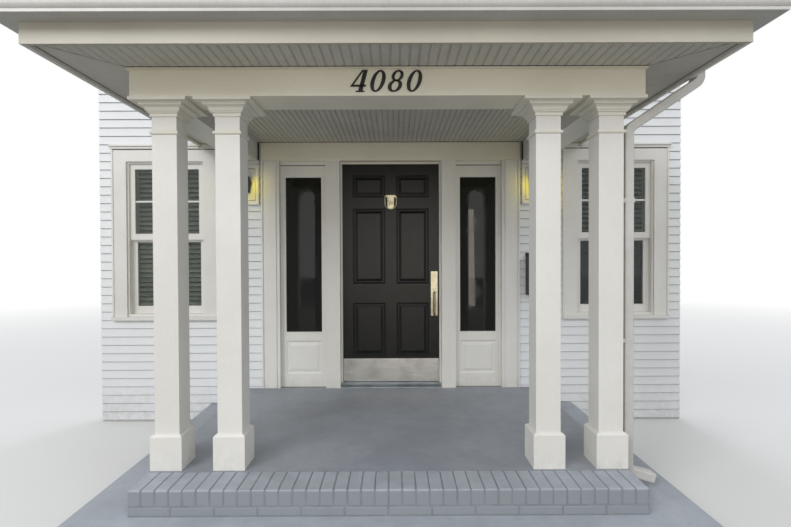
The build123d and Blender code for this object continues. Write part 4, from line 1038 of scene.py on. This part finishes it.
cageParts = {  # half as wide at the foot and at the head, then the heights it stands between
    "cageFoot": (halfFoot + 1 * mm, halfFoot + 2.5 * mm, cageLow, cageLow + 7 * mm),
    "cageHead": (halfHead - 1 * mm, halfHead + 1 * mm, cageHigh - 8 * mm, cageHigh),
    "cageEave": (halfEave, halfEave - 2 * mm, cageHigh, hoodLow),
    "cageHood": (lantern["hood"] / 2, lantern["cap"] / 2, hoodLow, hoodLow + 38 * mm),
}
for name, part in cageParts.items():
    cage.append(taperedBlock(name, *part))
knobs = (  # radius and the heights it stands between, on the hood and under the bowl
    (7 * mm, hoodLow + 34 * mm, lanternHigh[2]),
    (6 * mm, lanternLow[2], cageLow - lantern["bowl"] + 4 * mm),
)
for radius, z0, z1 in knobs:
    knob = startRod(radius, z1 - z0, (lanternX, lanternY, (z0 + z1) / 2), (0, 0, 0), 24)
    cage.append(roundEdges(knob, lantern["knobRound"], 3))
cheekLow = cageLow + cheekPlan["foot"]
cheekHigh = cageHigh + cheekPlan["top"]
cheekIn = halfHead - cheekPlan["lap"]
cheekFace = lanternY - halfFoot
for sx in (-1, 1):  # a black cheek at each front corner of the cage, its outer face bowed
    x0, x1 = sorted((sx * cheekIn, sx * (cheekIn + cheekPlan["thickness"])))
    cheek = startBlock("cageCheek", (lanternX + x0, cheekFace - cheekPlan["front"], cheekLow),
                       (lanternX + x1, cheekFace + cheekPlan["back"], cheekHigh))
    pickPoints(cheek, lambda p: True)
    bpy.ops.mesh.subdivide(number_cuts=7)
    bpy.ops.object.mode_set(mode="OBJECT")
    for point in cheek.data.vertices:
        rise = (point.co.z - cheekLow) / (cheekHigh - cheekLow)
        outward = (abs(point.co.x - lanternX) - cheekIn) / cheekPlan["thickness"]  # 1 at the outer face
        point.co.x += sx * (outward * cheekPlan["bow"] * math.sin(math.pi * rise) - (1 - rise) * spread)
    cage.append(cheek)
sheetInset = lantern["sheetInset"]
sheetBack = lanternY + halfFoot - lantern["sheetFace"]
backSheet = startBlock("backSheet",
                       (lanternX - halfFoot + sheetInset, lanternY + halfFoot - sheetInset, cageLow),
                       (lanternX + halfFoot - sheetInset, sheetBack, cageHigh - lantern["sheetTop"]))
pickPoints(backSheet, lambda p: p.z > cageMiddle)
bpy.ops.transform.translate(value=(0, spread, 0))
bpy.ops.transform.resize(value=(halfHead / halfFoot, 1, 1), center_override=(lanternX, lanternY, cageHigh))
bpy.ops.object.mode_set(mode="OBJECT")
cage.append(backSheet)
plateFront = blockLow[1] - bracket["plate"]
wallPlate = startBlock("wallPlate", (lanternX - bracket["plateHalf"], plateFront, cageLow + bracket["ends"]),
                       (lanternX + bracket["plateHalf"], blockLow[1], cageHigh - bracket["ends"]))
cage.append(roundEdges(wallPlate, bracket["round"], 2, "front"))
armZ = cageHigh - bracket["drop"]
armFront = lanternY + halfHead - bracket["inCage"]
armBack = plateFront + bracket["inPlate"]
armMiddle = (lanternX, (armFront + armBack) / 2, armZ)
arm = startRod(bracket["arm"], armBack - armFront, armMiddle, (math.pi / 2, 0, 0), 20)
pickPoints(arm, lambda p: p.y > armMiddle[1])
bpy.ops.transform.resize(value=(bracket["flare"], 1, bracket["flare"]),
                         center_override=(lanternX, plateFront, armZ))
bpy.ops.object.mode_set(mode="OBJECT")
cage.append(arm)
rightCage = joinPieces("rightLantern", cage)
for rightPiece, leftName, material in ((rightCage, "leftLantern", powderCoat),
                                       (panes, "leftLanternPanes", lanternGlass)):
    leftPiece = copyPiece(rightPiece, leftName, (-2 * lanternX, 0, 0))
    finishPiece(rightPiece, material)
    finishPiece(leftPiece, material)
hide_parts("lanterns")
print("lanterns hung")


# A moulded frame planted on each lantern block, under a cap moulding

blockFrame = {"inset": 1 * mm, "width": 36 * mm, "narrower": 5 * mm, "thickness": 10 * mm, "bevel": 2.5 * mm,
              "quirk": 5 * mm, "step": 9 * mm, "stepThickness": 4 * mm, "cut": 0.05, "dust": 1 * mm}
blockCap = {"high": 31 * mm, "proud": 14 * mm, "gap": 3 * mm, "bevel": 5 * mm, "joint": 4 * mm}
blockFront = blockLow[1]
# the dust key gives the depth of the dark strips of dust and painted shade in the joints
shadeStripDeep = blockFrame["dust"]
frameBottom = blockLow[2] + blockFrame["inset"]
frameTop = blockHigh[2] - blockCap["high"]
frameHalf = blockHalf - blockFrame["inset"]


def planTrim(name, x, inset, thickness):  # a ring of moulding, a little narrower at the sides
    ring = startBlock(name, (x - frameHalf, blockFront - thickness, frameBottom),
                      (x + frameHalf, blockFront + seat, frameTop))
    aside = frameHalf - inset + blockFrame["narrower"]
    hole = startBlock("frameHole", (x - aside, blockFront - blockFrame["cut"], frameBottom + inset),
                      (x + aside, blockFront + blockFrame["cut"], frameTop - inset))
    cutAway(ring, hole)
    return roundEdges(ring, min(blockFrame["bevel"], thickness / 2), 2, "front")


for side, sign in sides:
    x = sign * lanternX
    wide = blockFrame["width"] + blockFrame["quirk"]
    outerRing = planTrim(side + "BlockFrame", x, blockFrame["width"], blockFrame["thickness"])
    innerRing = planTrim("innerStep", x, wide + blockFrame["step"], blockFrame["stepThickness"])
    cutAway(innerRing, planTrim("quirkCut", x, wide, blockFrame["thickness"]))
    capFoot = frameTop + blockCap["gap"]
    capBlock = startBlock("blockCap", (x - frameHalf, blockFront - blockCap["proud"], capFoot),
                          (x + frameHalf, blockFront + seat, blockHigh[2] - seat))
    roundEdges(capBlock, blockCap["bevel"], 3, "front")
    finishPiece(joinPieces(side + "BlockFrame", [outerRing, innerRing, capBlock]), trimPaint)
    # dark strips in the quirk and under the cap: painted shade lines, with dust
    quirkShadeStrip = planTrim(side + "BlockJoint", x, wide + shadeStripDeep, shadeStripDeep)
    capShadeStrip = startBlock("capJoint", (x - frameHalf, blockFront - blockCap["joint"], frameTop - shadeStripDeep),
                         (x + frameHalf, blockFront, capFoot + shadeStripDeep))
    finishPiece(joinPieces(side + "BlockJoint", [quirkShadeStrip, capShadeStrip]), jointDustAndShade)
print("block frames planted")


# Drip caps over the windows: a rounded nose on a bed board, stopped either side of the eave's fascia

dripCap = {"low": 2.486, "high": 2.524, "bed": 19 * mm, "bedProud": 34 * mm, "noseProud": 47 * mm,
           "over": 9 * mm, "before": 24 * mm, "after": 3 * mm, "bedRound": 4 * mm, "noseRound": 7 * mm,
           "joint": 8 * mm, "jointProud": 1 * mm, "jointRound": 0.4 * mm}
dripShelf = dripCap["low"] + dripCap["bed"]
dripRows = []
for x0, x1 in ((casingInner, fasciaHigh[0] - dripCap["before"]),
               (fasciaHigh[0] + dripCap["after"], trimHigh[0] + dripCap["over"])):
    dripRows.append(((x0, -dripCap["bedProud"], dripCap["low"]), (x1, 0, dripShelf),
                     dripCap["bedRound"], 2, "front"))
    dripRows.append(((x0, -dripCap["noseProud"], dripShelf), (x1, 0, dripCap["high"]),
                     dripCap["noseRound"], 4, "front"))
plantPair("windowDripCaps", trimPaint, dripRows)
casingFront = pilasterLow[1]  # the casings are as proud as the pilasters
# a dark strip under each drip cap: painted shadow of the cap, with dust
plantPair("windowDripJoints", jointDustAndShade, [
    ((casingInner, casingFront - dripCap["jointProud"], dripCap["low"] - dripCap["joint"]),
     (trimHigh[0], casingFront, dripCap["low"]), dripCap["jointRound"], 1, "foot")])


# Back bands: a moulding along the outer edges of each window's casing, over the sill

backBand = {"width": 17 * mm, "proud": 29 * mm, "bevel": 4 * mm, "inset": 1 * mm, "foot": 2 * mm}
bandRows = []
for edge, inward in ((trimHigh[0] - backBand["inset"], -1), (casingInner + backBand["inset"], 1)):
    bandRows.append(((edge, -backBand["proud"], sillTop + backBand["foot"]),
                     (edge + inward * backBand["width"], 0, dripCap["low"]), backBand["bevel"], 3, "front"))
plantPair("windowBackBands", trimPaint, bandRows)


# Boards planted on the entrance's surround: raised faces on the pilasters, a face over the header and
# a moulding at each sidelight's head

surround = {"from": 1.041, "to": 1.151, "bandFrom": 1.162, "pilaster": 0.162, "thickness": 10 * mm,
            "bevel": 4 * mm, "smallBevel": 3 * mm, "headLow": 2.379, "headThickness": 7 * mm, "over": 1 * mm,
            "mouldingLow": 2.345, "mouldingProud": 12 * mm, "mouldingBevel": 5 * mm, "footGap": 1 * mm,
            "bandOver": 0.5 * mm}
headJoint = {"inset": 1 * mm, "proud": 1.5 * mm, "below": 7 * mm, "lap": 1 * mm, "round": 0.5 * mm}
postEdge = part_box("door_posts")[1][0]
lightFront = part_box("sidelights")[0][1]
pilasterFront = pilasterLow[1]
pilasterInner = pilasterHigh[0] - surround["pilaster"]
boardFoot = pilasterLow[2] + surround["footGap"]
boardFront = pilasterFront - surround["thickness"]
bandEnd = pilasterHigh[0] + surround["bandOver"]
headLow = surround["headLow"]
headFoot = surround["mouldingLow"]
faceFront = pilasterFront - surround["headThickness"]
plantPair("surroundBoards", trimPaint, [  # face and band of the pilaster, head of the sidelight
    ((surround["from"], boardFront, boardFoot), (surround["to"], pilasterFront + seat, headLow),
     surround["bevel"], 3, "front"),
    ((surround["bandFrom"], boardFront, boardFoot), (bandEnd, pilasterFront + seat, headLow),
     surround["smallBevel"], 3, "front"),
    ((postEdge, lightFront - surround["mouldingProud"], headFoot),
     (pilasterInner, lightFront + seat, headLow), surround["mouldingBevel"], 3, "front")])
headerFace = startBlock("headerFace", (-pilasterHigh[0] - surround["over"], faceFront, headLow),
                        (pilasterHigh[0] + surround["over"], pilasterFront + seat,
                         ceilingLow[2] - beadboards["thickness"]))
finishPiece(roundEdges(headerFace, surround["smallBevel"], 3, "front"), acrossPaint)
# a dark strip under each sidelight's head moulding: painted shadow of the moulding, with dust
plantPair("sidelightHeadJoints", jointDustAndShade, [
    ((postEdge + headJoint["inset"], lightFront - headJoint["proud"], headFoot - headJoint["below"]),
     (pilasterInner, lightFront + seat, headFoot + headJoint["lap"]), headJoint["round"], 1, "front")])


# Strips in the black felt finish, set in the open joints of the ceiling and the eaves as painted shade for
# the gaps

openJoints = {"wide": 9 * mm, "seam": 13 * mm, "deep": 3 * mm, "side": (-24 * mm, -16 * mm), "sideLow": 2.385,
              "sideTop": 8 * mm, "end": 1 * mm, "fasciaEnd": 0.5 * mm, "back": (6 * mm, 2 * mm),
              "beamFront": 5 * mm, "beamDeep": 5.5 * mm, "edge": 0.6 * mm}
seamLow = soffitLow[2] - openJoints["deep"]
seamTop = soffitLow[2] + seat
eaveRun = beamLow[1] - soffitLow[1]
seamHalf = eaveRun * math.sqrt(0.5)
backLow, backTop = (ceilingLow[2] - depth for depth in openJoints["back"])
strips = [startBlock("backJoint", (ceilingLow[0], faceFront - openJoints["wide"], backLow),
                     (ceilingHigh[0], faceFront, backTop))]
for side, sign in sides:
    jointEnd = ceilingHigh[0] - openJoints["end"]
    front, back = openJoints["side"]
    strips.append(sideBlock("sideJoint", sign, (jointEnd - openJoints["wide"], front, openJoints["sideLow"]),
                            (jointEnd, back, ceilingLow[2] - openJoints["sideTop"])))
    seam = startBlock("mitreSeam", (-seamHalf, -openJoints["seam"] / 2, seamLow),
                      (seamHalf, openJoints["seam"] / 2, seamTop))
    seamMiddle = (sign * (soffitHigh[0] - eaveRun / 2), soffitLow[1] + eaveRun / 2, 0)
    seam.data.transform(Matrix.Translation(seamMiddle) @ Matrix.Rotation(sign * -math.pi / 4, 4, "Z"))
    strips.append(seam)
    fasciaSide = soffitHigh[0] - 2 * edgeGap
    strips.append(sideBlock("fasciaSeam", sign, (fasciaSide, soffitLow[1] + edgeGap, seamLow),
                            (soffitHigh[0] - openJoints["fasciaEnd"], -beadboards["wallGap"], seamTop)))
strips.append(startBlock("beamSeam", (-sideHigh[0], beamLow[1] - openJoints["beamFront"],
                                      soffitLow[2] - openJoints["beamDeep"]),
                         (sideHigh[0], beamLow[1] + seat, seamTop)))
for strip in strips:
    roundEdges(strip, openJoints["edge"], 1)
# the strips take the felt's black as painted shade
finishPiece(joinPieces("jointShadeStrips", strips), roofFeltAndJointShade)
print("joints closed")


# Beads in the mouldings of the door's six panels, on both faces

panelBead = {"rows": ((0.575, 1.070), (1.249, 1.949), (2.055, 2.260)), "from": 0.052, "to": 0.354,
             "apart": 0.406, "inset": 4 * mm, "width": 5 * mm, "sink": 1 * mm, "depth": 6 * mm,
             "round": 2 * mm, "cut": (0.01, 0.02)}
leafLow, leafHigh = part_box("door_leaf")
beadFront = leafLow[1] + panelBead["sink"]
beadWide = panelBead["width"]
holeFront, holeBack = panelBead["cut"]
turnInside = Matrix.Translation((0, leafLow[1] + leafHigh[1], 0)) @ Matrix.Diagonal((-1, -1, 1, 1))
beads = []
for z0, z1 in panelBead["rows"]:
    x0 = panelBead["from"] + panelBead["inset"]
    x1 = panelBead["to"] - panelBead["inset"]
    foot = z0 + panelBead["inset"]
    top = z1 - panelBead["inset"]
    bead = startBlock("panelBead", (x0, beadFront, foot), (x1, beadFront + panelBead["depth"], top))
    hole = startBlock("beadHole", (x0 + beadWide, beadFront - holeFront, foot + beadWide),
                      (x1 - beadWide, beadFront + holeBack, top - beadWide))
    cutAway(bead, hole)
    roundEdges(bead, panelBead["round"], 2, "front")
    for outside in (bead, copyPiece(bead, "leftBead", (-panelBead["apart"], 0, 0))):
        inside = copyPiece(outside, "insideBead", (0, 0, 0))
        inside.data.transform(turnInside)
        beads += [outside, inside]
finishPiece(joinPieces("doorPanelBeads", beads), doorPaint, "door")
print("panel beads set")


# Letter box lid: a folded sheet with a lip, on a rod hinge

boxLid = {"thickness": 2 * mm, "over": 2 * mm, "lip": 12 * mm, "rod": 3 * mm, "back": 5 * mm, "slope": 0.14,
          "round": 0.7 * mm, "rodRound": 0.6 * mm}
boxLow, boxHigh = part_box("letter_box")
boxDrop = boxLid["slope"] * (boxHigh[2] - boxLow[2])  # how far the box's top falls to its front
lidFront = boxLow[1] - boxLid["over"] - boxLid["thickness"]
lidLeft = boxLow[0] - boxLid["over"]
lidRight = boxHigh[0] + boxLid["over"]
lipTop = boxHigh[2] - boxDrop
lid = startBlock("letterBoxLid", (lidLeft, lidFront, boxHigh[2]),
                 (lidRight, -boxLid["back"], boxHigh[2] + boxLid["thickness"]))
movePoints(lid, lambda p: p.y < boxLow[1] / 2, (0, 0, -boxDrop))
lip = startBlock("lidLip", (lidLeft, lidFront, lipTop - boxLid["lip"]),
                 (lidRight, lidFront + boxLid["thickness"], lipTop + boxLid["thickness"] / 2))
rodMiddle = ((boxLow[0] + boxHigh[0]) / 2, -boxLid["back"], boxHigh[2])
rod = startRod(boxLid["rod"], boxHigh[0] - boxLow[0], rodMiddle, (0, math.pi / 2, 0), 16)
for sheet in (lid, lip):
    roundEdges(sheet, boxLid["round"], 2, "front")
roundEdges(rod, boxLid["rodRound"], 1)
finishPiece(joinPieces("letterBoxLid", [lid, lip, rod]), powderCoat)
print("letter box lid hung")


# Hangers across the gutters, from the front lip to the eave

hanger = {"width": 24 * mm, "thickness": 1.6 * mm, "low": 2.6906, "reach": 118 * mm, "front": 2.170,
          "side": 1.855, "edge": 0.5 * mm, "frontPlaces": (-1.5, -0.9, -0.3, 0.3, 0.9, 1.5),
          "sidePlaces": (-1.7, -1.1, -0.5)}
strap = startBlock("hanger", (-hanger["width"] / 2, -hanger["front"], hanger["low"]),
                   (hanger["width"] / 2, hanger["reach"] - hanger["front"],
                    hanger["low"] + hanger["thickness"]))
roundEdges(strap, hanger["edge"], 1)
hangers = [copyPiece(strap, "frontHanger", (x, 0, 0)) for x in hanger["frontPlaces"]]
for side, sign in sides:
    for y in hanger["sidePlaces"]:
        turned = copyPiece(strap, "sideHanger", (0, hanger["front"], 0))
        turn = Matrix.Rotation(sign * math.pi / 2, 4, "Z")
        turned.data.transform(Matrix.Translation((sign * hanger["side"], y, 0)) @ turn)
        hangers.append(turned)
dropPiece(strap)
finishPiece(joinPieces("gutterHangers", hangers), millAluminium)
print("gutter hangers:", len(hangers))


# Ribs along the threshold, before the door

ribs = {"count": 4, "half": 0.45, "width": 4 * mm, "high": 1.2 * mm, "sink": 0.3 * mm, "edge": 0.7 * mm,
        "first": 12 * mm, "pitch": 11 * mm}
sillLow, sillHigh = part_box("threshold")
ribFront = sillLow[1] + ribs["first"]
rib = startBlock("thresholdRibs", (-ribs["half"], ribFront, sillHigh[2] - ribs["sink"]),
                 (ribs["half"], ribFront + ribs["width"], sillHigh[2] + ribs["high"]))
roundEdges(rib, ribs["edge"], 1, "top")
repeatPiece(rib, ribs["count"], (0, ribs["pitch"], 0))
finishPiece(rib, millAluminium)
print("threshold ribs:", ribs["count"])


# Screws: domed heads with a slot, on the kick plate and the handle's plate

screws = {"radius": 4 * mm, "dome": 1.6 * mm, "slot": 1 * mm, "inset": 14 * mm, "inRow": 5,
          "handleX": 0.404, "handleHeights": (0.960, 1.350), "handlePlate": 4 * mm}
kickLow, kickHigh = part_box("kick_plate")
bpy.ops.mesh.primitive_uv_sphere_add(segments=16, ring_count=8, radius=1, location=(0, 0, 0))
screw = bpy.context.active_object
screw.data.transform(Matrix.Diagonal((screws["radius"], screws["dome"], screws["radius"], 1)))
trimPiece(screw, (0, 0, 0), (0, 1, 0))
cutAway(screw, startBlock("slotCut", (-screws["radius"], -screws["dome"] * 2, -screws["slot"] / 2),
                          (screws["radius"], -screws["dome"] * 0.5, screws["slot"] / 2)))
kickScrews = []
for row in (kickLow[2] + screws["inset"], kickHigh[2] - screws["inset"]):
    for index in range(screws["inRow"]):
        run = kickHigh[0] - kickLow[0] - 2 * screws["inset"]
        x = kickLow[0] + screws["inset"] + run * index / (screws["inRow"] - 1)
        kickScrews.append(copyPiece(screw, "kickScrew", (x, kickLow[1], row)))
finishPiece(joinPieces("kickPlateScrews", kickScrews), brushedSteel, "door")
handleFace = leafLow[1] - screws["handlePlate"]
handleScrews = [copyPiece(screw, "handleScrew", (screws["handleX"], handleFace, z))
                for z in screws["handleHeights"]]
finishPiece(joinPieces("handleScrews", handleScrews), drawnSteel, "door")
dropPiece(screw)
print("screws set")
